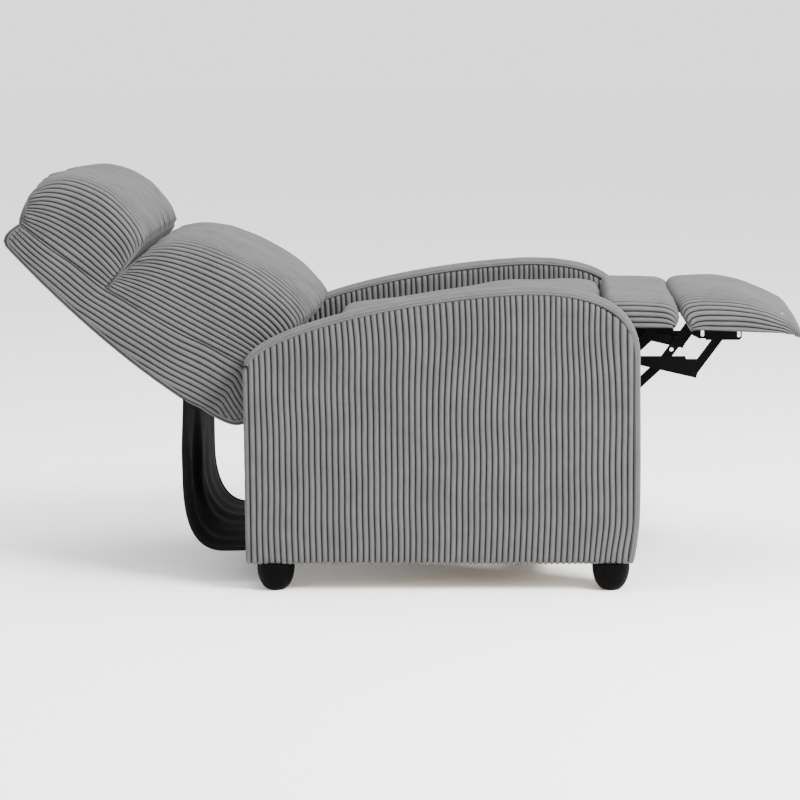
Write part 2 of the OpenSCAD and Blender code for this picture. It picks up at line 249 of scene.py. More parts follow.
def wale_tree() -> GeometryGraph:
    """Tree that raises the wales of a corduroy skin along its normals.

    Returns:
        The tree. It reads the point attributes "wale", a count of wales, and "lift", from 0 to 1.
    """
    g = GeometryGraph("raise_wales", {"Wale Height": ("NodeSocketFloat", 0.003),
                                      "Roundness": ("NodeSocketFloat", 0.6),
                                      "Unevenness": ("NodeSocketFloat", 0.15)})
    wale = g.node("GeometryNodeInputNamedAttribute", {"data_type": "FLOAT"}, {"Name": "wale"})
    lift = g.node("GeometryNodeInputNamedAttribute", {"data_type": "FLOAT"}, {"Name": "lift"})
    profile = abs((wale * math.pi).cosine()) ** g.input("Roundness")
    uneven = g.node("ShaderNodeTexNoise", {"noise_dimensions": "4D"},
                    {"W": SEED, "Scale": 45.0, "Detail": 2.0})
    height = profile * (1 + (uneven - 0.5) * 2 * g.input("Unevenness")) * lift * g.input("Wale Height")
    offset = g.node("ShaderNodeVectorMath", {"operation": "SCALE"},
                    {0: g.node("GeometryNodeInputNormal"), "Scale": height})
    g.close(g.node("GeometryNodeSetPosition", {}, {"Geometry": g.input("Geometry"), "Offset": offset}))
    return g


def stitch_tree() -> GeometryGraph:
    """Tree that lays a row of stitches along a polyline.

    Returns:
        The tree.
    """
    g = GeometryGraph("stitch_row", {"Pitch": ("NodeSocketFloat", 0.006),
                                     "Stitch Length": ("NodeSocketFloat", 0.0042),
                                     "Thread": ("NodeSocketFloat", 0.0009)})
    path = g.node("GeometryNodeResampleCurve", {"mode": "LENGTH"},
                  {"Curve": g.node("GeometryNodeMeshToCurve", {}, {"Mesh": g.input("Geometry")}),
                   "Length": g.input("Pitch")})
    stitch = g.node("GeometryNodeMeshUVSphere", {}, {"Segments": 6, "Rings": 4, "Radius": 1.0})
    size = g.node("ShaderNodeCombineXYZ", {}, {"X": g.input("Thread"), "Y": g.input("Thread"),
                                               "Z": g.input("Stitch Length") * 0.5})
    turn = g.node("FunctionNodeAlignEulerToVector", {"axis": "Z"},
                  {"Vector": g.node("GeometryNodeInputTangent")})
    g.close(g.node("GeometryNodeInstanceOnPoints", {},
                   {"Points": path, "Instance": stitch, "Rotation": turn, "Scale": size}))
    return g


def wire_tree() -> GeometryGraph:
    """Tree that sweeps a round wire or piping along a polyline.

    Returns:
        The tree.
    """
    g = GeometryGraph("round_wire", {"Radius": ("NodeSocketFloat", 0.002), "Sides": ("NodeSocketInt", 8)})
    path = g.node("GeometryNodeMeshToCurve", {}, {"Mesh": g.input("Geometry")})
    ring = g.node("GeometryNodeCurvePrimitiveCircle", {}, {"Resolution": g.input("Sides"),
                                                           "Radius": g.input("Radius")})
    swept = g.node("GeometryNodeCurveToMesh", {}, {"Curve": path, "Profile Curve": ring, "Fill Caps": True})
    g.close(g.node("GeometryNodeSetShadeSmooth", {}, {"Geometry": swept}))
    return g


# ---- Finishes ----


class Weave(Enum):
    """Ways a cloth's surface is made."""

    CORDUROY = "corduroy"
    NONWOVEN = "nonwoven"


def principled(name: str) -> tuple[bpy.types.Material, Graph, bpy.types.Node]:
    """Starts a material.

    Args:
        name: the material's name.

    Returns:
        The material, its graph and its Principled BSDF.
    """
    material = bpy.data.materials.new(name)
    material.use_nodes = True
    g = Graph(material.node_tree)
    shader = g.add("ShaderNodeBsdfPrincipled")
    out = g.add("ShaderNodeOutputMaterial")
    g.tree.links.new(shader.outputs[0], out.inputs["Surface"])
    return material, g, shader


def tint(g: Graph, dark: Sequence[float], light: Sequence[float], factor: Wire) -> Wire:
    """Mixes two colours.

    Args:
        g: the graph.
        dark: the colour at 0.
        light: the colour at 1.
        factor: from 0 to 1.

    Returns:
        The colour.
    """
    return g.node("ShaderNodeMix", {"data_type": "RGBA"},
                  {"Factor": factor, "A": (*dark, 1), "B": (*light, 1)}, output="Result")


def noise(g: Graph, vector: Wire, scale: float, detail: float = 2.0) -> Wire:
    """Noise from 0 to 1.

    Args:
        g: the graph.
        vector: where it is read.
        scale: features per metre, or per unit of the vector.
        detail: octaves.

    Returns:
        The noise.
    """
    return g.node("ShaderNodeTexNoise", {}, {"Vector": vector, "Scale": scale, "Detail": detail})


@dataclass(frozen=True)
class Cloth:
    """A cloth finish.

    Args:
        name: the material's name.
        weave: how its surface is made.
        light: colour of its raised pile.
        dark: colour of its darker fibres; on the corduroy, the painted shade at the bottom of its grooves.
        sheen: weight of its sheen.
    """

    name: str
    weave: Weave
    light: tuple[float, float, float]
    dark: tuple[float, float, float]
    sheen: float

    def material(self) -> bpy.types.Material:
        """Makes the material."""
        return self._corduroy() if self.weave is Weave.CORDUROY else self._nonwoven()

    def _corduroy(self) -> bpy.types.Material:
        """Pile in wales with painted shade in the grooves between them, and the light and dark streaks that
        brushing leaves.
        """
        material, g, shader = principled(self.name)
        cord = g.node("ShaderNodeUVMap", {"uv_map": "cord"})
        split = g.add("ShaderNodeSeparateXYZ", {}, {"Vector": cord})
        wale, along = Wire(g, split.outputs["X"]), Wire(g, split.outputs["Y"])
        place = g.node("ShaderNodeTexCoord", {}, {}, output="Object")
        across = wale * WALE
        pile_at = g.node("ShaderNodeCombineXYZ", {}, {"X": across, "Y": along * 0.55})
        streak_at = g.node("ShaderNodeCombineXYZ", {}, {"X": wale * 1.7, "Y": along * 38.0})
        pile = noise(g, pile_at, 900.0, 3.0)
        streak = noise(g, streak_at, 1.0, 2.0)
        brushed = noise(g, place, 14.0, 3.0)
        rows = abs((along * (math.pi / 0.0021) + pile * 3.0).cosine())
        # Painted shade: the colour falls to dark at the bottom of the grooves between the wales, where shade
        # falls.
        crest = abs((wale * math.pi).cosine())
        groove_shade = crest.step(0.0, 0.8)
        tone = groove_shade * (0.50 + streak * 0.42 + pile * 0.46 + (rows - 0.5) * 0.14) * (0.70 + brushed * 0.46)
        colour = tint(g, self.dark, self.light, tone)
        g.feed(shader, "Base Color", colour)
        height = pile * 0.7 + rows * 0.35 + streak * 0.6
        bump = g.node("ShaderNodeBump", {}, {"Strength": 0.55, "Distance": 0.0009, "Height": height})
        g.feed(shader, "Normal", bump)
        rough = 0.86 + pile * 0.12
        g.feed(shader, "Roughness", rough)
        shader.inputs["Sheen Weight"].default_value = self.sheen
        shader.inputs["Sheen Roughness"].default_value = 0.45
        shader.inputs["Specular IOR Level"].default_value = 0.08
        return material

    def _nonwoven(self) -> bpy.types.Material:
        """Pressed fibres with a fine dotted emboss."""
        material, g, shader = principled(self.name)
        place = g.node("ShaderNodeTexCoord", {}, {}, output="Object")
        fibre = noise(g, place, 420.0, 4.0)
        worn = noise(g, place, 9.0, 3.0)
        dots = g.node("ShaderNodeTexVoronoi", {}, {"Vector": place, "Scale": 480.0}, output="Distance")
        tone = fibre * 0.6 + worn * 0.5 - 0.1
        g.feed(shader, "Base Color", tint(g, self.dark, self.light, tone))
        height = fibre + dots * 0.8
        bump = g.node("ShaderNodeBump", {}, {"Strength": 0.5, "Distance": 0.0005, "Height": height})
        g.feed(shader, "Normal", bump)
        g.feed(shader, "Roughness", 0.72 + fibre * 0.2)
        shader.inputs["Sheen Weight"].default_value = self.sheen
        shader.inputs["Sheen Roughness"].default_value = 0.5
        shader.inputs["Specular IOR Level"].default_value = 0.08
        return material


@dataclass(frozen=True)
class Metal:
    """Plated or painted steel.

    Args:
        name: the material's name.
        colour: its colour.
        metallic: 1 for bare or plated steel, 0 for paint.
        roughness: its mean roughness.
        gloss: its specular level.
    """

    name: str
    colour: tuple[float, float, float]
    metallic: float
    roughness: float
    gloss: float

    def material(self) -> bpy.types.Material:
        """Makes the material, with handling marks and a faint orange peel."""
        material, g, shader = principled(self.name)
        place = g.node("ShaderNodeTexCoord", {}, {}, output="Object")
        marks = noise(g, place, 55.0, 4.0)
        peel = noise(g, place, 650.0, 2.0)
        worn = tuple(min(1.0, c * 1.9 + 0.0006) for c in self.colour)
        g.feed(shader, "Base Color", tint(g, self.colour, worn, marks.step(0.5, 0.85)))
        g.feed(shader, "Roughness", self.roughness - 0.08 + marks * 0.2)
        bump = g.node("ShaderNodeBump", {}, {"Strength": 0.25, "Distance": 0.0002, "Height": peel})
        g.feed(shader, "Normal", bump)
        shader.inputs["Metallic"].default_value = self.metallic
        shader.inputs["Specular IOR Level"].default_value = self.gloss
        return material


@dataclass(frozen=True)
class Plastic:
    """Moulded plastic with a fine spark texture.

    Args:
        name: the material's name.
        colour: its colour.
    """

    name: str
    colour: tuple[float, float, float]

    def material(self) -> bpy.types.Material:
        """Makes the material."""
        material, g, shader = principled(self.name)
        place = g.node("ShaderNodeTexCoord", {}, {}, output="Object")
        spark = noise(g, place, 1500.0, 2.0)
        scuff = noise(g, place, 30.0, 4.0)
        worn = tuple(c * 2.2 + 0.0006 for c in self.colour)
        g.feed(shader, "Base Color", tint(g, self.colour, worn, scuff.step(0.55, 0.8)))
        g.feed(shader, "Roughness", 0.42 + scuff * 0.2)
        bump = g.node("ShaderNodeBump", {}, {"Strength": 0.3, "Distance": 0.0002, "Height": spark})
        g.feed(shader, "Normal", bump)
        shader.inputs["Specular IOR Level"].default_value = 0.03
        return material


@dataclass(frozen=True)
class Timber:
    """Sawn pine.

    Args:
        name: the material's name.
        early: colour of the soft grain.
        late: colour of the hard grain.
    """

    name: str
    early: tuple[float, float, float]
    late: tuple[float, float, float]

    def material(self) -> bpy.types.Material:
        """Makes the material, with grain along the chair's width."""
        material, g, shader = principled(self.name)
        place = g.node("ShaderNodeTexCoord", {}, {}, output="Object")
        stretched = g.node("ShaderNodeMapping", {}, {"Vector": place, "Scale": (1.0, 0.08, 1.0)})
        warp = noise(g, stretched, 9.0, 3.0)
        rings = g.node("ShaderNodeTexWave", {"wave_type": "RINGS"},
                       {"Vector": stretched, "Scale": 26.0, "Distortion": 4.0, "Detail": 2.0})
        fibre = noise(g, stretched, 420.0, 3.0)
        tone = rings * 0.55 + fibre * 0.3 + warp * 0.2
        g.feed(shader, "Base Color", tint(g, self.early, self.late, tone))
        bump = g.node("ShaderNodeBump", {}, {"Strength": 0.3, "Distance": 0.0004, "Height": fibre})
        g.feed(shader, "Normal", bump)
        g.feed(shader, "Roughness", 0.7 + fibre * 0.15)
        return material


# The corduroy's dark colour is painted shade, used at the bottom of its grooves.
CORDUROY = Cloth("corduroy", Weave.CORDUROY, light=(0.090, 0.090, 0.0915), dark=(0.0060, 0.0060, 0.0064),
                 sheen=0.05)
THREAD = Cloth("thread", Weave.NONWOVEN, light=(0.095, 0.095, 0.097), dark=(0.05, 0.05, 0.052), sheen=0.05)
DUST_CLOTH = Cloth("dust_cloth", Weave.NONWOVEN, light=(0.0034, 0.0034, 0.0038),
                   dark=(0.0014, 0.0014, 0.0016), sheen=0.01)
BLACK_STEEL = Metal("black_steel", (0.0006, 0.0006, 0.0008), 0.0, 0.55, 0.04)
ZINC_STEEL = Metal("zinc_steel", (0.30, 0.30, 0.31), 1.0, 0.38, 0.5)
FOOT_PLASTIC = Plastic("foot_plastic", (0.0010, 0.0010, 0.0012))
FRAME_TIMBER = Timber("frame_timber", (0.56, 0.42, 0.26), (0.38, 0.24, 0.12))


# ---- Curves and skins ----


def bezier(points: Sequence[Sequence[float]], steps: int = 24) -> np.ndarray:
    """Cubic Bezier curves end to end.

    Args:
        points: 4 points for the first curve and 3 more for each that follows.
        steps: points on each curve.

    Returns:
        The points, as rows.
    """
    p = np.array(points, float)
    t = np.linspace(0, 1, steps + 1)[:, None]
    runs = []
    for i in range(0, len(p) - 3, 3):
        a, b, c, d = p[i:i + 4]
        run = (1 - t) ** 3 * a + 3 * (1 - t) ** 2 * t * b + 3 * (1 - t) * t ** 2 * c + t ** 3 * d
        runs.append(run if i == 0 else run[1:])
    return np.vstack(runs)


def lengths(curve: np.ndarray) -> np.ndarray:
    """Distance along a polyline to each of its points."""
    return np.concatenate([[0.0], np.cumsum(np.linalg.norm(np.diff(curve, axis=0), axis=1))])


def resample(curve: np.ndarray, count: int) -> np.ndarray:
    """A polyline with count points at equal distances."""
    s = lengths(curve)
    at = np.linspace(0, s[-1], count)
    return np.stack([np.interp(at, s, curve[:, k]) for k in range(curve.shape[1])], axis=1)


def smooth(x: np.ndarray | float) -> np.ndarray:
    """Smooth step from 0 at 0 to 1 at 1."""
    t = np.clip(x, 0.0, 1.0)
    return t * t * (3 - 2 * t)


def inward_of(curve: np.ndarray) -> np.ndarray:
    """Unit vectors square to an X-Z curve, to the right of its direction."""
    d = np.gradient(curve, axis=0)
    d /= np.linalg.norm(d, axis=1, keepdims=True)
    return np.stack([d[:, 1], -d[:, 0]], axis=1)


def quads_of(grid: np.ndarray) -> np.ndarray:
    """Corners of the four-sided faces of a grid of point numbers, one row for each face."""
    return np.stack([grid[:-1, :-1], grid[1:, :-1], grid[1:, 1:], grid[:-1, 1:]], axis=2).reshape(-1, 4)


class Ripple:
    """Smooth random waviness from a few sine waves, the same at every run."""

    def __init__(self, seed: int, pitch: float, waves: int = 7) -> None:
        """Draws the waves.

        Args:
            seed: fixes the draw.
            pitch: the shortest wavelength, in metres.
            waves: how many.
        """
        rng = np.random.default_rng(seed)
        turn = rng.uniform(0, 2 * math.pi, waves)
        rate = 2 * math.pi / (pitch * rng.uniform(1.0, 3.0, waves))
        self.kx, self.ky = rate * np.cos(turn), rate * np.sin(turn)
        self.phase = rng.uniform(0, 2 * math.pi, waves)

    def __call__(self, x: np.ndarray, y: np.ndarray | float = 0.0) -> np.ndarray:
        """Waviness, about -1 to 1, at a place on the cloth."""
        waves = [np.sin(kx * x + ky * y + p) for kx, ky, p in zip(self.kx, self.ky, self.phase)]
        return sum(waves) / math.sqrt(len(waves))


@dataclass
class Skin:
    """A rectangular sheet of points with the corduroy's layout on it.

    Args:
        points: rows x columns x 3.
        wale: wales counted across the cloth at each point.
        along: distance along the wales, in metres.
        lift: how far the wales stand up, from 0 at a seam to 1.
    """

    points: np.ndarray
    wale: np.ndarray
    along: np.ndarray
    lift: np.ndarray

    def refined(self, rows: int, columns: int) -> "Skin":
        """A finer sheet through the same points.

        Args:
            rows: new rows for each old one.
            columns: new columns for each old one.

        Returns:
            The finer sheet.
        """
        points = _finer(_finer(self.points, rows), columns, axis=1)
        flat = [_finer(_finer(a, rows, cubic=False), columns, axis=1, cubic=False)
                for a in (self.wale, self.along, self.lift)]
        return Skin(points, *flat)

    def normals(self, inside: np.ndarray) -> np.ndarray:
        """Unit normals that point away from a place inside the piece."""
        n = np.cross(np.gradient(self.points, axis=0), np.gradient(self.points, axis=1))
        n /= np.maximum(np.linalg.norm(n, axis=2, keepdims=True), 1e-12)
        return n * np.sign(np.sum(n * (self.points - inside), axis=2).mean() or 1.0)


def _finer(a: np.ndarray, factor: int, axis: int = 0, cubic: bool = True) -> np.ndarray:
    """Refines an array along an axis through its own values.

    Args:
        a: the values.
        factor: new intervals for each old one.
        axis: along which.
        cubic: Catmull-Rom if true, straight lines if not.

    Returns:
        The finer array.
    """
    a = np.moveaxis(a, axis, 0)
    first, last = 2 * a[0] - a[1], 2 * a[-1] - a[-2]
    p = np.concatenate([first[None], a, last[None]])
    out = []
    for k in range(factor):
        t = k / factor
        if cubic:
            w = (-0.5 * t + t * t - 0.5 * t ** 3, 1 - 2.5 * t * t + 1.5 * t ** 3,
                 0.5 * t + 2 * t * t - 1.5 * t ** 3, -0.5 * t * t + 0.5 * t ** 3)
            out.append(w[0] * p[:-3] + w[1] * p[1:-2] + w[2] * p[2:-1] + w[3] * p[3:])
        else:
            out.append((1 - t) * p[1:-2] + t * p[2:-1])
    fine = np.stack(out, axis=1).reshape(-1, *a.shape[1:])
    return np.moveaxis(np.concatenate([fine, a[-1:]]), 0, axis)


def mesh_of(name: str, verts: np.ndarray, faces: Sequence[Sequence[int]]) -> bpy.types.Object:
    """Makes an object from points and faces and links it to the scene."""
    mesh = bpy.data.meshes.new(name)
    mesh.from_pydata(verts.tolist(), [], list(faces))
    piece = bpy.data.objects.new(name, mesh)
    bpy.context.scene.collection.objects.link(piece)
    return piece


def polyline(name: str, points: np.ndarray) -> bpy.types.Object:
    """Makes an object of edges only, end to end."""
    mesh = bpy.data.meshes.new(name)
    mesh.from_pydata(points.tolist(), [(i, i + 1) for i in range(len(points) - 1)], [])
    piece = bpy.data.objects.new(name, mesh)
    bpy.context.scene.collection.objects.link(piece)
    return piece


class Sewing:
    """Joins skins that share edges into one closed mesh."""

    def __init__(self, skins: Sequence[Skin]) -> None:
        """Finds the points that the skins share."""
        self.skins = list(skins)
        stacked = np.vstack([s.points.reshape(-1, 3) for s in self.skins])
        _, first, index = np.unique(np.round(stacked, 6), axis=0, return_index=True, return_inverse=True)
        self.verts = stacked[first]
        self.index = index.reshape(-1)

    def maps(self) -> list[np.ndarray]:
        """For each skin, the vertex under each of its points."""
        start, found = 0, []
        for s in self.skins:
            shape = s.points.shape[:2]
            count = shape[0] * shape[1]
            found.append(self.index[start:start + count].reshape(shape))
            start += count
        return found

    def piece(self, name: str) -> bpy.types.Object:
        """Builds the closed mesh with its cord UV map and its wale and lift attributes.

        Args:
            name: the piece's name.

        Returns:
            The piece.
        """
        faces, uvs = [], []
        wale, lift = np.zeros(len(self.verts)), np.ones(len(self.verts))
        for skin, grid in zip(self.skins, self.maps()):
            wale[grid] = skin.wale
            lift[grid] = np.minimum(lift[grid], skin.lift)
            rows, columns = grid.shape
            flat_wale, flat_along = skin.wale.ravel(), skin.along.ravel()
            flat = grid.ravel()
            for quad in quads_of(np.arange(rows * columns).reshape(rows, columns)).tolist():
                corners, kept = [], []
                for c in quad:
                    if flat[c] not in corners:
                        corners.append(int(flat[c]))
                        kept.append(c)
                if len(corners) > 2:
                    faces.append(corners)
                    uvs.extend((flat_wale[c], flat_along[c]) for c in kept)
        piece = mesh_of(name, self.verts, faces)
        mesh = piece.data
        layer = mesh.uv_layers.new(name="cord")
        layer.data.foreach_set("uv", np.array(uvs, np.float32).ravel())
        for label, values in (("wale", wale), ("lift", lift)):
            mesh.attributes.new(label, "FLOAT", "POINT").data.foreach_set("value", values.astype(np.float32))
        close_up(mesh)
        return piece


def close_up(mesh: bpy.types.Mesh) -> None:
    """Fills open ends with flat faces and turns every face outwards."""
    bm = bmesh.new()
    bm.from_mesh(mesh)
    for face in bm.faces:
        face.smooth = True
    rims = [e for e in bm.edges if e.is_boundary]
    if rims:
        filled = bmesh.ops.holes_fill(bm, edges=rims, sides=0)["faces"]
        made = bmesh.ops.triangulate(bm, faces=filled)["faces"] if filled else []
        for face in made:
            face.smooth = False
    bmesh.ops.recalc_face_normals(bm, faces=bm.faces)
    bm.to_mesh(mesh)
    bm.free()


# ---- The workshop: what every upholstered piece is made with ----


class Workshop:
    """Shared trees and materials, and the steps that finish a piece."""

    def __init__(self) -> None:
        """Makes the trees and the materials once."""
        self.wales = wale_tree()
        self.stitches = stitch_tree()
        self.wires = wire_tree()
        self.finishes = {f.name: f.material() for f in (
            CORDUROY, THREAD, DUST_CLOTH, BLACK_STEEL, ZINC_STEEL, FOOT_PLASTIC, FRAME_TIMBER)}

    def cord(self, sewn: bpy.types.Object, height: float = 0.0042) -> bpy.types.Object:
        """Raises a sewn piece's wales and gives it the corduroy.

        Args:
            sewn: the closed mesh from Sewing.
            height: how far the wales stand up.

        Returns:
            The piece.
        """
        name = sewn.name
        sewn.name = name + "_form"
        sewn.data.materials.append(self.finishes["corduroy"])
        return self.wales.bake(sewn, name, {"Wale Height": height, "Roundness": 0.85, "Unevenness": 0.22,
                                            "Material": self.finishes["corduroy"]})

    def stitch(self, name: str, path: np.ndarray, body: str) -> bpy.types.Object:
        """Lays a row of stitches along a path and lets it ride."""
        row = self.stitches.bake(polyline(name + "_path", path), name, {
            "Pitch": 0.0062, "Stitch Length": 0.0046, "Thread": 0.0008, "Material": self.finishes["thread"]})
        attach(row, body)
        return row

    def welt(self, name: str, path: np.ndarray, radius: float, body: str) -> bpy.types.Object:
        """Lays a folded lip of the cover's own cloth along a seam and lets it ride."""
        lip = self.wires.bake(polyline(name + "_path", path), name, {
            "Radius": radius, "Sides": 10, "Material": self.finishes["corduroy"]})
        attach(lip, body)
        return lip

    @staticmethod
    def settle(piece: bpy.types.Object, body: str, nodes: Sequence[str], fill: float) -> None:
        """Says what a finished cover rides on and what it stands for.

        Args:
            piece: the padded piece.
            body: the body that it rides on.
            nodes: the frame's nodes that it stands for.
            fill: how full it is, from 0 to 1; not used.
        """
        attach(piece, body)
        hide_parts(*nodes)
        log.info("%s rides on %s: %d faces", piece.name, body, len(piece.data.polygons))

    def paint_frame(self) -> None:
        """Gives every node of the frame that stays in sight its own finish."""
        slots = {part["node"]: part["material_slot"] for part in frame["record"]["subparts"]}
        for node, piece in frame["nodes"].items():
            piece.data.materials.clear()
            piece.data.materials.append(self.finishes[slots[node]])


@dataclass
class Inflation:
    """Settings of the cloth simulation that fills a cushion.

    Args:
        pressure: the filling's pressure.
        frames: how long it swells.
        grow: how much larger than its form the cover is cut.
    """

    pressure: float = 4.0
    frames: int = 20
    grow: float = 0.03

    def swell(self, name: str, verts: np.ndarray, faces: Sequence[Sequence[int]],
              pinned: np.ndarray) -> np.ndarray:
        """Runs the simulation on a closed form.

        Args:
            name: the form's name.
            verts: its points.
            faces: its faces.
            pinned: from 0, free, to 1, held, for each point.

        Returns:
            The points when it has settled.
        """
        form = mesh_of(name + "_cover", verts, faces)
        group = form.vertex_groups.new(name="pins")
        for i, weight in enumerate(pinned.tolist()):
            if weight > 0:
                group.add([i], weight, "REPLACE")
        cloth = form.modifiers.new("filling", "CLOTH")
        s = cloth.settings
        s.quality = 6
        s.mass = 0.3
        s.tension_stiffness = s.compression_stiffness = 12.0
        s.shear_stiffness = 6.0
        s.bending_stiffness = 1.2
        s.use_pressure = True
        s.uniform_pressure_force = self.pressure
        s.shrink_min = -self.grow
        s.vertex_group_mass = "pins"
        s.pin_stiffness = 1.0
        s.effector_weights.gravity = 0.0
        cloth.collision_settings.use_self_collision = False
        cloth.collision_settings.use_collision = False
        cloth.point_cache.frame_start = 1
        cloth.point_cache.frame_end = self.frames
        scene = bpy.context.scene
        for number in range(1, self.frames + 1):
            scene.frame_set(number)
        mesh = form.evaluated_get(bpy.context.evaluated_depsgraph_get()).to_mesh()
        settled = np.empty(len(mesh.vertices) * 3, np.float32)
        mesh.vertices.foreach_get("co", settled)
        bpy.data.objects.remove(form)
        scene.frame_set(1)
        return settled.reshape(-1, 3).astype(float)


@dataclass
class Cushion:
    """A stuffed piece wrapped in corduroy: a crown lofted over a base, rounded down at both sides.

    Args:
        name: the piece's name.
        crown: X-Z points of the visible curve at the middle, from one end to the other.
        base: X-Z points under it, from end to end.
        half_width: half its width.
        squareness: how boxy its cross-section is, 2 for an ellipse.
        dip: how much lower the crown is at its sides, as a share of its height.
        puff: how far the cloth may swell, in metres.
        tuck: depth of the pucker at its two end seams.
        narrow: how much narrower it is at its first and last end, in metres.
        corner: length over which it narrows, in metres.
        bulge: how far the faces of its first and last end stand out, in metres.
        seed: fixes its creases.
    """

    name: str
    crown: np.ndarray
    base: np.ndarray
    half_width: float
    squareness: float = 4.0
    dip: float = 0.1
    puff: float = 0.012
    tuck: float = 0.002
    narrow: tuple[float, float] = (0.0, 0.0)
    corner: float = 0.03
    bulge: tuple[float, float] = (0.0, 0.0)
    seed: int = SEED
    skins: list[Skin] = field(default_factory=list)

    def _section(self, height: float) -> np.ndarray:
        """Cross-section as shares of half width and height, one wale apart.

        Args:
            height: the crown's greatest height over the base.

        Returns:
            Rows of (share of half width, share of height), from one side to the other.
        """
        angle = np.linspace(0, math.pi, 721)
        y = np.sign(np.cos(angle)) * np.abs(np.cos(angle)) ** (2 / self.squareness)
        h = np.abs(np.sin(angle)) ** (2 / self.squareness) * (1 - self.dip * y ** 2)
        real = np.stack([y * self.half_width, h * height], axis=1)
        wales = 2 * round(lengths(real)[-1] / WALE / 2)
        even = resample(real, wales + 1)
        return np.stack([even[:, 0] / self.half_width, even[:, 1] / height], axis=1)

    def lay_out(self) -> None:
        """Builds the coarse skins: the wrapped crown and its two ends."""
        rows = max(8, round(lengths(self.crown)[-1] / FORM_STEP))
        crown, base = resample(self.crown, rows + 1), resample(self.base, rows + 1)
        height = np.linalg.norm(crown - base, axis=1).max()
        section = self._section(height)
        s = lengths(crown)
        length = s[-1]
        width = self.half_width - self._narrowing(s, length)
        share = section[:, 1][None, :, None]
        ground = base[:, None, :] * (1 - share) + crown[:, None, :] * share
        y = width[:, None] * section[:, 0][None, :]
        points = np.stack([ground[:, :, 0], y, ground[:, :, 1]], axis=2)
        count = np.arange(len(section)) - (len(section) - 1) / 2
        wale = np.broadcast_to(count + 0.5, points.shape[:2]).copy()
        along = np.broadcast_to(s[:, None], points.shape[:2]).copy()
        self.skins = [Skin(points, wale, along, np.ones(points.shape[:2]))]
        for end in (0, -1):
            drop = np.linalg.norm(crown[end] - base[end])
            if drop > 0.004:
                self.skins.append(self._end(end, crown, base, section, width[end], drop))

    def _narrowing(self, s: np.ndarray, length: float) -> np.ndarray:
        """How much the half width draws in at each distance from the ends, round like a corner."""
        def near(distance: np.ndarray, amount: float) -> np.ndarray:
            """The part that one end draws in."""
            t = np.clip(1 - distance / max(self.corner, 1e-6), 0, 1)
            return amount * (1 - np.sqrt(np.maximum(0.0, 1 - t * t)))
        return near(s, self.narrow[0]) + near(length - s, self.narrow[1])

    def _end(self, end: int, crown: np.ndarray, base: np.ndarray, section: np.ndarray, width: float,
             drop: float) -> Skin:
        """The face that closes one end.

        Args:
            end: 0 or -1.
            crown: the crown's points.
            base: the base's points.
            section: the cross-section's shares.
            width: half the width there.
            drop: the height there.

        Returns:
            The skin, from the base up to the crown.
        """
        rows = max(3, round(drop / FORM_STEP))
        rise = np.linspace(0, 1, rows + 1)[:, None]
        up = rise * section[:, 1][None, :]
        ground = base[end] * (1 - up[..., None]) + crown[end] * up[..., None]
        y = np.broadcast_to(width * section[:, 0], up.shape)
        out = crown[end] - crown[1 if end == 0 else -2]
        out = out / np.linalg.norm(out)
        ground = ground + out * (self.bulge[end] * 4 * rise * (1 - rise) * section[:, 1])[..., None]
        points = np.stack([ground[..., 0], y, ground[..., 1]], axis=2)
        count = np.arange(len(section)) - (len(section) - 1) / 2 + 0.5
        return Skin(points, np.broadcast_to(count, up.shape).copy(), up * drop, np.ones(up.shape))

    def swell(self) -> None:
        """Fills the cover by cloth simulation, with its base held."""
        sewing = Sewing(self.skins)
        faces = []
        for grid in sewing.maps():
            faces += [list(dict.fromkeys(q)) for q in quads_of(grid).tolist() if len(set(q)) > 2]
        main = sewing.maps()[0]
        rim = np.concatenate([main[:, 0], main[:, -1][::-1]])
        faces.append(list(dict.fromkeys(rim.tolist())))
        pinned = np.zeros(len(sewing.verts))
        pinned[rim] = 1.0
        pinned[main[0]] = np.maximum(pinned[main[0]], 0.85)
        pinned[main[-1]] = np.maximum(pinned[main[-1]], 0.85)
        for grid in sewing.maps()[1:]:
            pinned[grid] = 1.0
        settled = Inflation().swell(self.name, sewing.verts, faces, pinned)
        move = settled - sewing.verts
        size = np.linalg.norm(move, axis=1)
        reach = max(np.percentile(size, 98), 1e-6)
        move *= (self.puff / reach) * np.minimum(1.0, 1.15 * reach / np.maximum(size, 1e-9))[:, None]
        moved = sewing.verts + move
        for skin, grid in zip(self.skins, sewing.maps()):
            skin.points = moved[grid]
        log.info("%s swelled by up to %.1f mm", self.name, 1000 * size.max())

    def dress(self, shop: Workshop) -> bpy.types.Object:
        """Refines the cover, tucks its end seams and raises its wales.

        Args:
            shop: the workshop.

        Returns:
            The piece.
        """
        inside = np.array([*((self.crown.mean(0) + self.base.mean(0)) / 2), 0])[[0, 2, 1]]
        fine = [s.refined(FINE_ROWS, COLUMNS_PER_WALE) for s in self.skins]
        main = fine[0]
        step = np.linalg.norm(np.gradient(main.points, axis=0), axis=2)
        from_first = np.cumsum(step, axis=0) - step[0]
        from_last = from_first[-1] - from_first
        normal = main.normals(inside)
        across = main.wale * WALE
        gather = Ripple(self.seed, 0.022)
        wave = Ripple(self.seed + 1, 0.11)
        for distance, shift in ((from_first, 0.0), (from_last, 3.1)):
            fall = np.exp(-distance / 0.02) * (1 - np.exp(-(distance / 0.004) ** 2))
            main.points += normal * (self.tuck * fall * gather(across + shift))[..., None]
            main.lift *= smooth(distance / 0.007)
        free = smooth(np.minimum(from_first, from_last) / 0.05) * smooth(self._side_distance(main) / 0.03)
        main.points += normal * (0.0016 * free * wave(across, main.along))[..., None]
        wander = 0.12 * free * Ripple(self.seed + 2, 0.16)(across, main.along)
        main.wale = main.wale + wander
        for skin in fine[1:]:
            skin.lift *= smooth((skin.along.max() - skin.along) / 0.007)
        piece = Sewing(fine).piece(self.name)
        return shop.cord(piece)

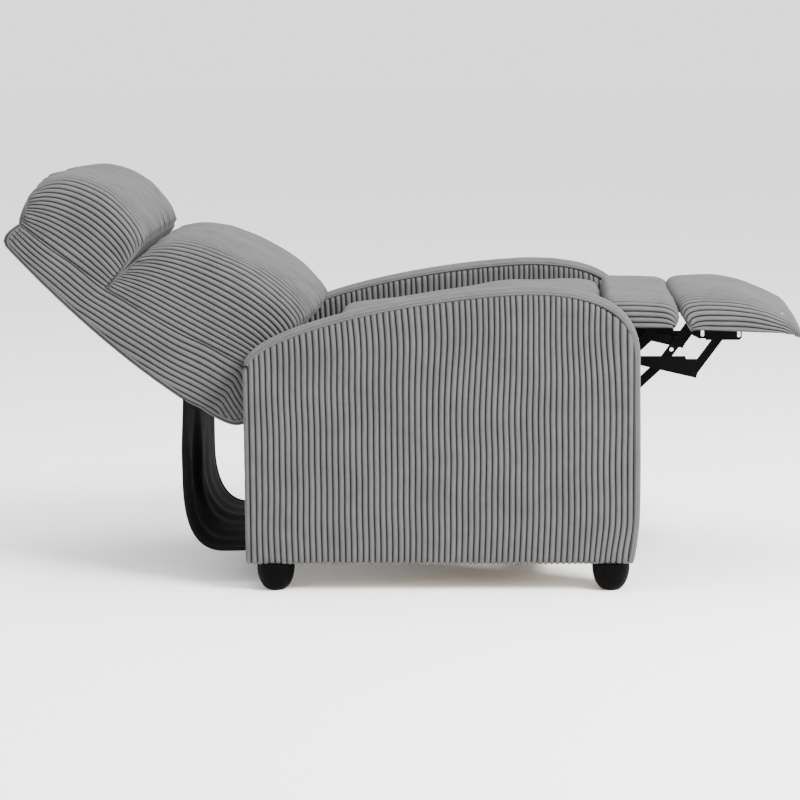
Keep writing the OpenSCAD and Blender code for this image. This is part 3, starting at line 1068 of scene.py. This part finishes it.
    @staticmethod
    def _side_distance(skin: Skin) -> np.ndarray:
        """Distance of each point from the nearer side edge, across the cloth."""
        step = np.linalg.norm(np.gradient(skin.points, axis=1), axis=2)
        reach = np.cumsum(step, axis=1) - step[:, :1]
        return np.minimum(reach, reach[:, -1:] - reach)


# ---- Arms ----


@dataclass
class Arm:
    """An arm: two ribbed side panels and the band over its crown and down its front.

    Args:
        side: LEFT or RIGHT.
        name: "left" or "right".
        seam_drop: how far the panel seam lies inside the crown.
        corner: radius of the rounded edges.
        foot_edge: height of the cover's lower edge.
        face_inset: how far the cover's faces lie inside the frame's box, which the wales fill.
    """

    side: int
    name: str
    seam_drop: float = 0.0065
    corner: float = 0.0105
    foot_edge: float = 0.0605
    face_inset: float = 0.0028

    def __post_init__(self) -> None:
        """Reads the arm's size from the frame."""
        low, high = (np.array(c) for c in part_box(f"arm_top_band_{self.name}"))
        self.rear, self.front, self.top = low[0] + 0.002, high[0] - 0.003, high[2] - 0.003
        self.middle = (low[1] + high[1]) / 2
        self.half = (high[1] - low[1]) / 2 - self.face_inset
        self.crown = self._crown()
        self.seam = self._seam()

    def _crown(self) -> np.ndarray:
        """The arm's outline from its rear top corner over the crown and down the front."""
        r, f, t = self.rear, self.front, self.top
        over = bezier([(r, t - 0.148), (r + 0.026, t - 0.078), (r + 0.341, t - 0.008), (0.17, t),
                       (f - 0.087, t), (f + 0.003, t - 0.032), (f, t - 0.147)], 60)
        down = bezier([(f, t - 0.147), (f, t - 0.25), (f + 0.003, 0.26), (f + 0.001, 0.16),
                       (f, 0.12), (f - 0.006, 0.085), (f - 0.010, self.foot_edge)], 40)
        return np.vstack([over, down[1:]])

    def _seam(self) -> np.ndarray:
        """The panel seam: the outline moved inwards."""
        seam = self.crown + inward_of(self.crown) * self.seam_drop
        return seam[seam[:, 0] > self.rear]

    def _panel(self, face: int) -> Skin:
        """One side panel, which turns round the arm's rear edge.

        Args:
            face: 1 for the side away from the seat, -1 for the seat's side.

        Returns:
            The skin, from the bottom up to the seam.
        """
        y_face = self.half
        rear_turn = self.rear + self.corner
        turned = bezier([(self.rear, 0.0), (self.rear, y_face * 0.5), (self.rear, y_face - self.corner * 1.2),
                         (self.rear, y_face - self.corner), (self.rear, y_face - self.corner * 0.45),
                         (rear_turn - self.corner * 0.55, y_face), (rear_turn, y_face)], 40)
        front_seam = self.seam[:, 0].max()
        plan = np.vstack([turned, [(front_seam, y_face)]])
        wales = round(lengths(plan)[-1] / WALE)
        plan = resample(plan, wales * COLUMNS_PER_WALE + 1)
        over = self.seam[: int(np.argmax(self.seam[:, 0] > front_seam - 1e-4)) + 1]
        tops = np.interp(plan[:, 0], over[:, 0], over[:, 1])
        rear_top = self.top - 0.155
        tops = np.where(plan[:, 0] < over[0, 0], rear_top, np.maximum(tops, rear_top))
        share = smooth(np.linspace(0, 1, 52)) * 0.6 + np.linspace(0, 1, 52) * 0.4
        z = self.foot_edge + (tops[None, :] - self.foot_edge) * share[:, None]
        x = np.broadcast_to(plan[:, 0], z.shape).copy()
        y = np.broadcast_to(plan[:, 1], z.shape).copy()
        wale = np.broadcast_to(np.arange(plan.shape[0]) / COLUMNS_PER_WALE, z.shape).copy()
        side = smooth((plan[:, 1] - 0.5 * y_face) / (0.5 * y_face))[None, :]
        to_seam = np.minimum(tops[None, :] - z, (front_seam - plan[:, 0])[None, :])
        from_foot = z - self.foot_edge
        y -= side * (0.0045 * np.exp(-to_seam / 0.006) + 0.006 * np.exp(-from_foot / 0.006))
        swell = Ripple(21 + face, 0.16)
        y += side * 0.0012 * swell(x, z) * smooth(to_seam / 0.03)
        from_edges = smooth((plan[:, 0] - self.rear) / 0.05), smooth((front_seam - plan[:, 0]) / 0.05)
        free = from_edges[0][None, :] * from_edges[1][None, :]
        lean = Ripple(31 + face, 0.09, 9)
        near_seam = np.exp(-(tops[None, :] - z) / 0.045)
        near_foot = np.exp(-from_foot / 0.05)
        x += free * (0.0011 * lean(x * 0.35, z) - 0.004 * near_seam * smooth((0.2 - x) / 0.5)
                     - 0.004 * near_foot * smooth((x + 0.1) / 0.4))
        x -= 0.010 * smooth((0.15 - z) / 0.09) * smooth((x - 0.25) / 0.14)
        pull = np.clip((x - 0.18) / 0.15, -1, 1) * smooth(1.5 - np.abs(x - 0.18) / 0.22)
        x -= 0.010 * free * pull * smooth((z - 0.36) / 0.22)
        x += 0.0012 * near_seam * free * Ripple(41 + face, 0.02)(x)
        lift = smooth(to_seam / 0.006) * np.ones_like(z)
        points = np.stack([x, self.middle + self.side * face * y, z], axis=2)
        return Skin(points, wale, z, lift)

    def _band(self) -> Skin:
        """The band over the crown: round edges down to both seams, wales along it."""
        over = resample(self.crown, 200)
        inward = inward_of(over)
        drop, half, c = self.seam_drop, self.half, self.corner
        across = bezier([(-half + 0.001, drop), (-half + 0.001, drop * 0.35), (-half + c * 0.4, 0.0),
                         (-half + c, 0.0), (-half / 3, -0.003), (half / 3, -0.003), (half - c, 0.0),
                         (half - c * 0.4, 0.0), (half - 0.001, drop * 0.35), (half - 0.001, drop)], 30)
        wales = round(lengths(across)[-1] / WALE)
        across = resample(across, wales * COLUMNS_PER_WALE + 1)
        ground = over[:, None, :] + inward[:, None, :] * across[None, :, 1, None]
        y = self.middle + self.side * np.broadcast_to(across[:, 0], ground.shape[:2])
        points = np.stack([ground[..., 0], y, ground[..., 1]], axis=2)
        wale = np.broadcast_to(np.arange(len(across)) / COLUMNS_PER_WALE + 0.5, y.shape).copy()
        along = np.broadcast_to(lengths(over)[:, None], y.shape).copy()
        reach = lengths(across)
        lift = np.broadcast_to(smooth(np.minimum(reach, reach[-1] - reach) / 0.005), y.shape).copy()
        gather = Ripple(51 + self.side, 0.03)
        edge = np.exp(-np.minimum(reach, reach[-1] - reach) / 0.012) * lift[0]
        points[..., 2] += 0.0010 * edge[None, :] * gather(along, 0.0)
        return Skin(points, wale, along, lift)

    def build(self, shop: Workshop) -> None:
        """Makes the arm's pieces and hands them over.

        Args:
            shop: the workshop.
        """
        for face, label in ((1, "outer"), (-1, "inner")):
            sewn = Sewing([self._panel(face)]).piece(f"arm_{label}_cover_{self.name}")
            shop.settle(shop.cord(sewn), "base", [f"arm_{label}_panel_{self.name}"], 0.8)
        band = shop.cord(Sewing([self._band()]).piece(f"arm_band_{self.name}"), 0.0016)
        shop.settle(band, "base", [f"arm_top_band_{self.name}"], 0.8)
        for face, label in ((1, "outer"), (-1, "inner")):
            y = self.middle + self.side * face * (self.half - 0.0005)
            lip = np.stack([self.seam[:, 0], np.full(len(self.seam), y), self.seam[:, 1]], axis=1)
            shop.welt(f"arm_{label}_lip_{self.name}", resample(lip, SEAM_POINTS), 0.0026, "base")
            for row, shift in (("upper", 0.0034), ("lower", -0.0036)):
                path = self._stitch_path(face, shift)
                shop.stitch(f"arm_{label}_{row}_stitches_{self.name}", path, "base")

    def _stitch_path(self, face: int, shift: float) -> np.ndarray:
        """A line beside the seam lip.

        Args:
            face: 1 or -1, as for a panel.
            shift: how far outside the seam it lies.

        Returns:
            Its points.
        """
        seam = resample(self.seam, SEAM_POINTS)
        line = seam - inward_of(seam) * shift
        y = self.middle + self.side * face * (self.half + 0.0002)
        return np.stack([line[:, 0], np.full(len(line), y), line[:, 1]], axis=1)


# ---- Seat, flap and footrest ----


@dataclass
class Seating:
    """The seat cushion, the flap pad in front of it and the footrest pad.

    Args:
        skirt: how far a pad's cover wraps down over its board.
    """

    skirt: float = 0.0135

    def cushions(self) -> list[tuple[Cushion, str, list[str], float]]:
        """The three cushions.

        Returns:
            For each: the cushion, its body, the nodes it stands for and its fill.
        """
        low, high = (np.array(c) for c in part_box("seat_cushion"))
        half = high[1]
        rear, front, floor, top = low[0], high[0] + 0.001, low[2], high[2]
        seat = Cushion(
            "seat_cover",
            bezier([(rear + 0.004, floor + 0.004), (rear - 0.004, floor + 0.03), (rear + 0.07, top - 0.062),
                    (rear + 0.20, top - 0.042), (rear + 0.31, top - 0.018), (rear + 0.36, top - 0.010),
                    (rear + 0.44, top - 0.008), (front - 0.05, top - 0.007), (front - 0.001, top - 0.010),
                    (front, top - 0.026), (front - 0.001, top - 0.045), (front - 0.008, top - 0.045),
                    (front - 0.008, floor + 0.004)]),
            np.array([(rear + 0.004, floor), (front - 0.008, floor)]),
            half, squareness=9.0, dip=0.03, puff=0.010, tuck=0.0015, seed=101)
        low, high = (np.array(c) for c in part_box("flap_pad"))
        rear, front, floor, top = low[0] + 0.0015, high[0] + 0.001, low[2] - self.skirt, high[2]
        flap = Cushion(
            "flap_cover",
            bezier([(rear, floor + 0.012), (rear, floor + 0.03), (rear - 0.002, top - 0.008),
                    (rear + 0.010, top - 0.005), (rear + 0.05, top - 0.002), (front - 0.07, top - 0.002),
                    (front - 0.035, top - 0.005), (front - 0.012, top - 0.008), (front, top - 0.014),
                    (front + 0.004, floor + 0.026)]),
            np.array([(rear + 0.004, floor), (front - 0.011, floor)]),
            half, squareness=6.0, dip=0.08, puff=0.007, tuck=0.0012, seed=111)
        low, high = (np.array(c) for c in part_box("footrest_pad"))
        rear, front, top = low[0] + 0.001, high[0] - 0.005, high[2]
        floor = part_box("flap_pad")[0][2] - self.skirt
        foot = Cushion(
            "footrest_cover",
            bezier([(rear + 0.008, floor + 0.025), (rear - 0.004, floor + 0.036), (rear - 0.012, top - 0.034),
                    (rear - 0.008, top - 0.020), (rear + 0.004, top - 0.004), (rear + 0.040, top - 0.004),
                    (rear + 0.080, top - 0.004), (rear + 0.150, top - 0.004), (front - 0.050, top - 0.034),
                    (front - 0.014, top - 0.056), (front + 0.005, top - 0.082), (front + 0.005, top - 0.106),
                    (front + 0.002, top - 0.113)]),
            np.array([(rear + 0.026, floor - 0.004), (front - 0.012, floor - 0.012)]),
            half, squareness=4.4, dip=0.14, puff=0.007, tuck=0.0020,
            narrow=(0.0, 0.062), corner=0.075, seed=121)
        return [(seat, "seat", ["seat_cushion"], 0.75), (flap, "flap", ["flap_pad"], 0.7),
                (foot, "footrest", ["footrest_pad"], 0.7)]


# ---- Backrest ----


class Backrest:
    """The rear shell, the lumbar cushion and the head pillow, drawn upright and then reclined."""

    def __init__(self) -> None:
        """Reads the hinge from the frame."""
        hinge = next(j for j in frame["record"]["behaviour"]["joints"] if j["name"] == "backrest_hinge")
        self.pivot = np.array([hinge["pos_m"][0], hinge["pos_m"][2]])
        self.lean = math.radians(hinge["range_deg"][1])
        self.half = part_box("back_shell")[1][1]
        self.top_rear, self.top_front = np.array([-0.505, 0.983]), np.array([-0.457, 0.991])
        self.seam_high, self.seam_low = np.array([-0.410, 0.785]), np.array([-0.298, 0.493])

    def reclined(self, upright: np.ndarray) -> np.ndarray:
        """X-Z points turned from the upright to the reclined position."""
        c, s = math.cos(self.lean), math.sin(self.lean)
        d = upright - self.pivot
        return self.pivot + np.stack([d[:, 0] * c - d[:, 1] * s, d[:, 0] * s + d[:, 1] * c], axis=1)

    def seam(self) -> np.ndarray:
        """The line where the cushions meet the shell, from the top down, upright."""
        return bezier([self.top_front, (-0.441, 0.922), (-0.425, 0.852), self.seam_high,
                       (-0.386, 0.716), (-0.366, 0.655), (-0.337, 0.587), (-0.324, 0.556),
                       (-0.311, 0.525), self.seam_low])

    def cushions(self) -> list[tuple[Cushion, str, list[str], float]]:
        """The lumbar cushion and the head pillow.

        Returns:
            For each: the cushion, its body, the nodes it stands for and its fill.
        """
        seam = self.seam()
        upper, lower = seam[:25], seam[24:]
        pillow = Cushion(
            "pillow_cover",
            self.reclined(bezier([(-0.384, 1.033), (-0.360, 1.036), (-0.330, 1.026), (-0.306, 0.997),
                                  (-0.276, 0.960), (-0.262, 0.920), (-0.262, 0.880),
                                  (-0.262, 0.855), (-0.266, 0.836), (-0.284, 0.812)])),
            self.reclined(upper + np.array([0.001, 0.002])), self.half, squareness=7.0, dip=0.05, puff=0.009,
            tuck=0.0036, bulge=(0.013, 0.004), seed=131)
        lumbar = Cushion(
            "lumbar_cover",
            self.reclined(bezier([(-0.284, 0.788), (-0.250, 0.792), (-0.215, 0.770), (-0.184, 0.726),
                                  (-0.146, 0.668), (-0.120, 0.600), (-0.116, 0.536),
                                  (-0.115, 0.510), (-0.118, 0.490), (-0.130, 0.476)])),
            self.reclined(lower + np.array([0.001, 0.0])), self.half, squareness=6.0, dip=0.10, puff=0.010,
            tuck=0.0030, bulge=(0.004, 0.006), seed=141)
        return [(pillow, "backrest", ["head_pillow"], 0.8), (lumbar, "backrest", ["lumbar_cushion"], 0.75)]

    def shell(self, shop: Workshop) -> None:
        """Makes the shell: a ribbed rear with rounded edges and two ribbed sides.

        Args:
            shop: the workshop.
        """
        outline = bezier([self.top_front, (-0.470, 0.996), (-0.503, 1.000), (-0.508, 0.982),
                          (-0.503, 0.832), (-0.482, 0.662), (-0.441, 0.520),
                          (-0.436, 0.505), (-0.430, 0.494), (-0.423, 0.478),
                          (-0.415, 0.445), (-0.402, 0.405), (-0.378, 0.4015),
                          (-0.362, 0.4005), (-0.347, 0.4005), (-0.332, 0.401)])
        front = np.vstack([self.seam(), [(-0.332, 0.401)]])
        rows = 72
        rear, seam = resample(outline, rows + 1), resample(front, rows + 1)
        round_edge = 0.008
        centre = (rear + seam) / 2
        inward = centre - rear
        inward /= np.maximum(np.linalg.norm(inward, axis=1, keepdims=True), 1e-9)
        half, ease = self.half, round_edge / 3
        across = bezier([(-half, round_edge), (-half, ease), (-half + ease, 0.0), (-half + round_edge, 0.0),
                         (-0.1, 0.0), (0.1, 0.0), (half - round_edge, 0.0), (half - ease, 0.0), (half, ease),
                         (half, round_edge)], 30)
        wales = round(lengths(across)[-1] / WALE)
        across = resample(across, wales * COLUMNS_PER_WALE + 1)
        thick = np.linalg.norm(seam - rear, axis=1)
        depth = np.minimum(round_edge, thick * 0.45) / round_edge
        ground = rear[:, None, :] + inward[:, None, :] * (across[None, :, 1] * depth[:, None])[..., None]
        s = lengths(rear)
        flat = self.reclined(ground.reshape(-1, 2)).reshape(ground.shape)
        y = np.broadcast_to(across[:, 0], ground.shape[:2])
        skins = [Skin(np.stack([flat[..., 0], y, flat[..., 1]], axis=2),
                      np.broadcast_to(np.arange(len(across)) / COLUMNS_PER_WALE, y.shape).copy(),
                      np.broadcast_to(s[:, None], y.shape).copy(), np.ones(y.shape))]
        rim = ground[:, 0]
        columns = 12 * COLUMNS_PER_WALE
        for side in (LEFT, RIGHT):
            t = np.linspace(0, 1, columns + 1)[None, :, None]
            side_ground = rim[:, None, :] * (1 - t) + seam[:, None, :] * t
            reach = np.linalg.norm(side_ground - seam[:, None, :], axis=2)
            bulge = 0.003 * np.sin(math.pi * t[..., 0]) * np.ones_like(reach) * depth[:, None]
            turned = self.reclined(side_ground.reshape(-1, 2)).reshape(side_ground.shape)
            points = np.stack([turned[..., 0], side * (self.half + bulge), turned[..., 1]], axis=2)
            along = np.broadcast_to(s[:, None], reach.shape).copy()
            drift = 0.0015 * Ripple(71 + side, 0.12)(along, reach)
            lift = smooth(reach / 0.006)
            skins.append(Skin(points, (reach + drift) / WALE, along, lift))
        piece = shop.cord(Sewing(skins).piece("back_cover"), 0.0040)
        shop.settle(piece, "backrest", ["back_shell"], 0.7)


# ---- Rear dust cloth and springs ----


@dataclass
class DustCloth:
    """The black sheet from the backrest's heel down and under the chair.

    Args:
        hem: radius of its rolled side hems.
        thickness: of the cloth.
    """

    hem: float = 0.0035
    thickness: float = 0.0012

    def build(self, shop: Workshop) -> None:
        """Makes the sheet and its hems along a path from the backrest's heel down and under the chair.

        Args:
            shop: the workshop.
        """
        low, high = (np.array(c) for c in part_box("rear_dust_cloth"))
        x, floor, top, front = low[0] + 0.002, low[2] + 0.001, high[2] + 0.003, high[0]
        path = bezier([(x + 0.003, top), (x + 0.001, top - 0.05), (x - 0.001, top - 0.12),
                       (x - 0.003, floor + 0.125), (x - 0.003, floor + 0.055), (x + 0.020, floor),
                       (x + 0.075, floor),
                       (x + 0.10, floor), (front - 0.03, floor + 0.001), (front, floor + 0.002)], 30)
        path = resample(path, 90)
        half = high[1]
        columns = 72
        across = np.linspace(-half, half, columns + 1)
        s = lengths(path)
        fold = Ripple(81, 0.09, 9)
        slack = np.sin(np.clip(s / s[-1], 0, 1) * math.pi)[:, None]
        grid_s, grid_y = np.meshgrid(s, across, indexing="ij")
        depth = slack * (0.0045 * fold(grid_y * 1.3, grid_s * 0.5) + 0.006 * (1 - (grid_y / half) ** 2))
        ground = path[:, None, :] - inward_of(path)[:, None, :] * depth[..., None]
        points = np.stack([ground[..., 0], grid_y, ground[..., 1]], axis=2)
        skin = Skin(points, grid_y / WALE, grid_s, np.zeros_like(grid_s))
        sewing = Sewing([skin])
        sheet = mesh_of("dust_sheet", sewing.verts, quads_of(sewing.maps()[0]).tolist())
        sheet.data.polygons.foreach_set("use_smooth", [True] * len(sheet.data.polygons))
        thick = sheet.modifiers.new("cloth", "SOLIDIFY")
        thick.thickness = self.thickness
        thick.offset = 0.0
        graph = bpy.context.evaluated_depsgraph_get()
        mesh = bpy.data.meshes.new_from_object(sheet.evaluated_get(graph))
        sheet.modifiers.clear()
        sheet.data = mesh
        sheet.data.materials.clear()
        sheet.data.materials.append(shop.finishes["dust_cloth"])
        pieces = [sheet]
        for side, column, label in ((LEFT, -1, "left"), (RIGHT, 0, "right")):
            edge = points[:, column].copy()
            edge[:, 1] -= side * self.hem * 0.4
            roll = shop.wires.bake(polyline("hem_path", edge), f"dust_sheet_hem_{label}", {
                "Radius": self.hem, "Sides": 8, "Material": shop.finishes["dust_cloth"]})
            pieces.append(roll)
        for piece in pieces:
            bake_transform(piece)
        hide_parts("rear_dust_cloth")
        log.info("dust_sheet is %.0f x %.0f mm", 2000 * half, 1000 * s[-1])


@dataclass
class Springs:
    """A set of zigzag wire springs side by side between two rails.

    Args:
        name: the piece's name.
        node: the frame's node that it stands for.
        body: the body that it rides on.
        waves: bends in each spring.
        wire: radius of the wire.
    """

    name: str
    node: str
    body: str
    waves: int
    wire: float = 0.0019

    def build(self, shop: Workshop, start: np.ndarray, end: np.ndarray, places: Sequence[float]) -> None:
        """Makes the springs.

        Args:
            shop: the workshop.
            start: X-Z point of their first end.
            end: X-Z point of their last end.
            places: Y of each spring.
        """
        steps = self.waves * 16
        t = np.linspace(0, 1, steps + 1)
        sway = 0.018 * np.sin(2 * math.pi * self.waves * t)
        sway = np.clip(1.35 * sway, -0.018, 0.018)
        parts = []
        for i, y in enumerate(places):
            line = start[None, :] * (1 - t[:, None]) + end[None, :] * t[:, None]
            path = np.stack([line[:, 0], y + sway, line[:, 1]], axis=1)
            parts.append(shop.wires.bake(polyline(f"{self.name}_path", path), f"{self.name}_{i}", {
                "Radius": self.wire, "Sides": 8, "Material": shop.finishes["zinc_steel"]}))
        merged = join(self.name, parts)
        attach(merged, self.body)
        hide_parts(self.node)
        log.info("%s rides on %s", self.name, self.body)


def join(name: str, parts: Sequence[bpy.types.Object]) -> bpy.types.Object:
    """Joins several meshes into one piece.

    Args:
        name: the piece's name.
        parts: the meshes. They are removed.

    Returns:
        The piece.
    """
    bm = bmesh.new()
    for part in parts:
        bm.from_mesh(part.data)
    mesh = bpy.data.meshes.new(name)
    bm.to_mesh(mesh)
    bm.free()
    mesh.materials.append(parts[0].data.materials[0])
    for part in parts:
        bpy.data.objects.remove(part)
    piece = bpy.data.objects.new(name, mesh)
    bpy.context.scene.collection.objects.link(piece)
    return piece


# ---- Studio ----


@dataclass
class Studio:
    """Camera, soft lights and a pale floor.

    Args:
        eye: where the camera stands.
        pitch: its tilt up from straight down, in degrees.
        yaw: its turn about the vertical, in degrees.
        lens: its focal length, in millimetres.
        shift: its sideways shift, as a share of the frame.
        surround: strength of the even light from all round.
    """

    eye: tuple[float, float, float] = (0.188, -5.327, 1.162)
    pitch: float = 81.24
    yaw: float = 0.0
    lens: float = 113.85
    shift: float = -0.17
    surround: float = 1.8

    def build(self) -> None:
        """Sets up the whole studio."""
        self._camera()
        self._floor()
        self._light("sky", (-0.2, -0.2, 3.8), (0.0, 0.0, 0.3), 3.0, 150.0)
        self._light("key", (3.0, -2.3, 3.4), (0.0, 0.0, 0.4), 1.7, 640.0)
        self._light("rear_fill", (-3.4, -1.2, 1.8), (-0.3, 0.0, 0.5), 2.4, 16.0)
        world = bpy.data.worlds.new("studio")
        bpy.context.scene.world = world
        world.use_nodes = True
        backdrop = world.node_tree.nodes["Background"]
        backdrop.inputs["Color"].default_value = (1.0, 1.0, 1.0, 1.0)
        backdrop.inputs["Strength"].default_value = self.surround

    def _camera(self) -> None:
        """Places the camera."""
        data = bpy.data.cameras.new("camera")
        data.lens, data.sensor_width, data.shift_x = self.lens, 36.0, self.shift
        data.clip_end = 50.0
        camera = bpy.data.objects.new("camera", data)
        camera.location = self.eye
        camera.rotation_euler = (math.radians(self.pitch), 0.0, math.radians(self.yaw))
        bpy.context.scene.collection.objects.link(camera)
        bpy.context.scene.camera = camera

    def _floor(self) -> None:
        """Lays the floor."""
        size = 30.0
        corners = np.array([(-size, -size, 0), (size, -size, 0), (size, size, 0), (-size, size, 0)])
        floor = mesh_of("floor", corners, [(0, 1, 2, 3)])
        material, g, shader = principled("floor")
        place = g.node("ShaderNodeTexCoord", {}, {}, output="Object")
        tone = noise(g, place, 0.7, 2.0)
        g.feed(shader, "Base Color", tint(g, (0.94, 0.94, 0.94), (0.97, 0.97, 0.97), tone))
        shader.inputs["Roughness"].default_value = 0.9
        floor.data.materials.append(material)

    @staticmethod
    def _light(name: str, place: tuple[float, float, float], aim: tuple[float, float, float], size: float,
               power: float) -> None:
        """Adds a large soft light."""
        data = bpy.data.lights.new(name, "AREA")
        data.shape, data.size, data.energy = "SQUARE", size, power
        lamp = bpy.data.objects.new(name, data)
        lamp.location = place
        lamp.rotation_euler = (Vector(aim) - Vector(place)).to_track_quat("-Z", "Y").to_euler()
        bpy.context.scene.collection.objects.link(lamp)


def main() -> None:
    """Builds the chair round the frame, piece by piece."""
    logging.basicConfig(level=logging.INFO, format="%(name)s: %(message)s")
    Studio().build()
    shop = Workshop()
    shop.paint_frame()
    for side, name in ((LEFT, "left"), (RIGHT, "right")):
        Arm(side, name).build(shop)
    back = Backrest()
    back.shell(shop)
    for cushion, body, nodes, fill in Seating().cushions() + back.cushions():
        cushion.lay_out()
        cushion.swell()
        shop.settle(cushion.dress(shop), body, nodes, fill)
    DustCloth().build(shop)
    places = [-0.14, -0.07, 0.0, 0.07, 0.14]
    low, high = (np.array(c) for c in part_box("seat_springs"))
    Springs("seat_wires", "seat_springs", "seat", 9).build(
        shop, np.array([low[0], high[2] - 0.002]), np.array([high[0], high[2] - 0.002]), places)
    ends = back.reclined(np.array([(-0.356, 0.470), (-0.436, 0.810)]))
    Springs("back_wires", "back_springs", "backrest", 7).build(shop, ends[0], ends[1], places)


if __name__ == "__main__":
    main()
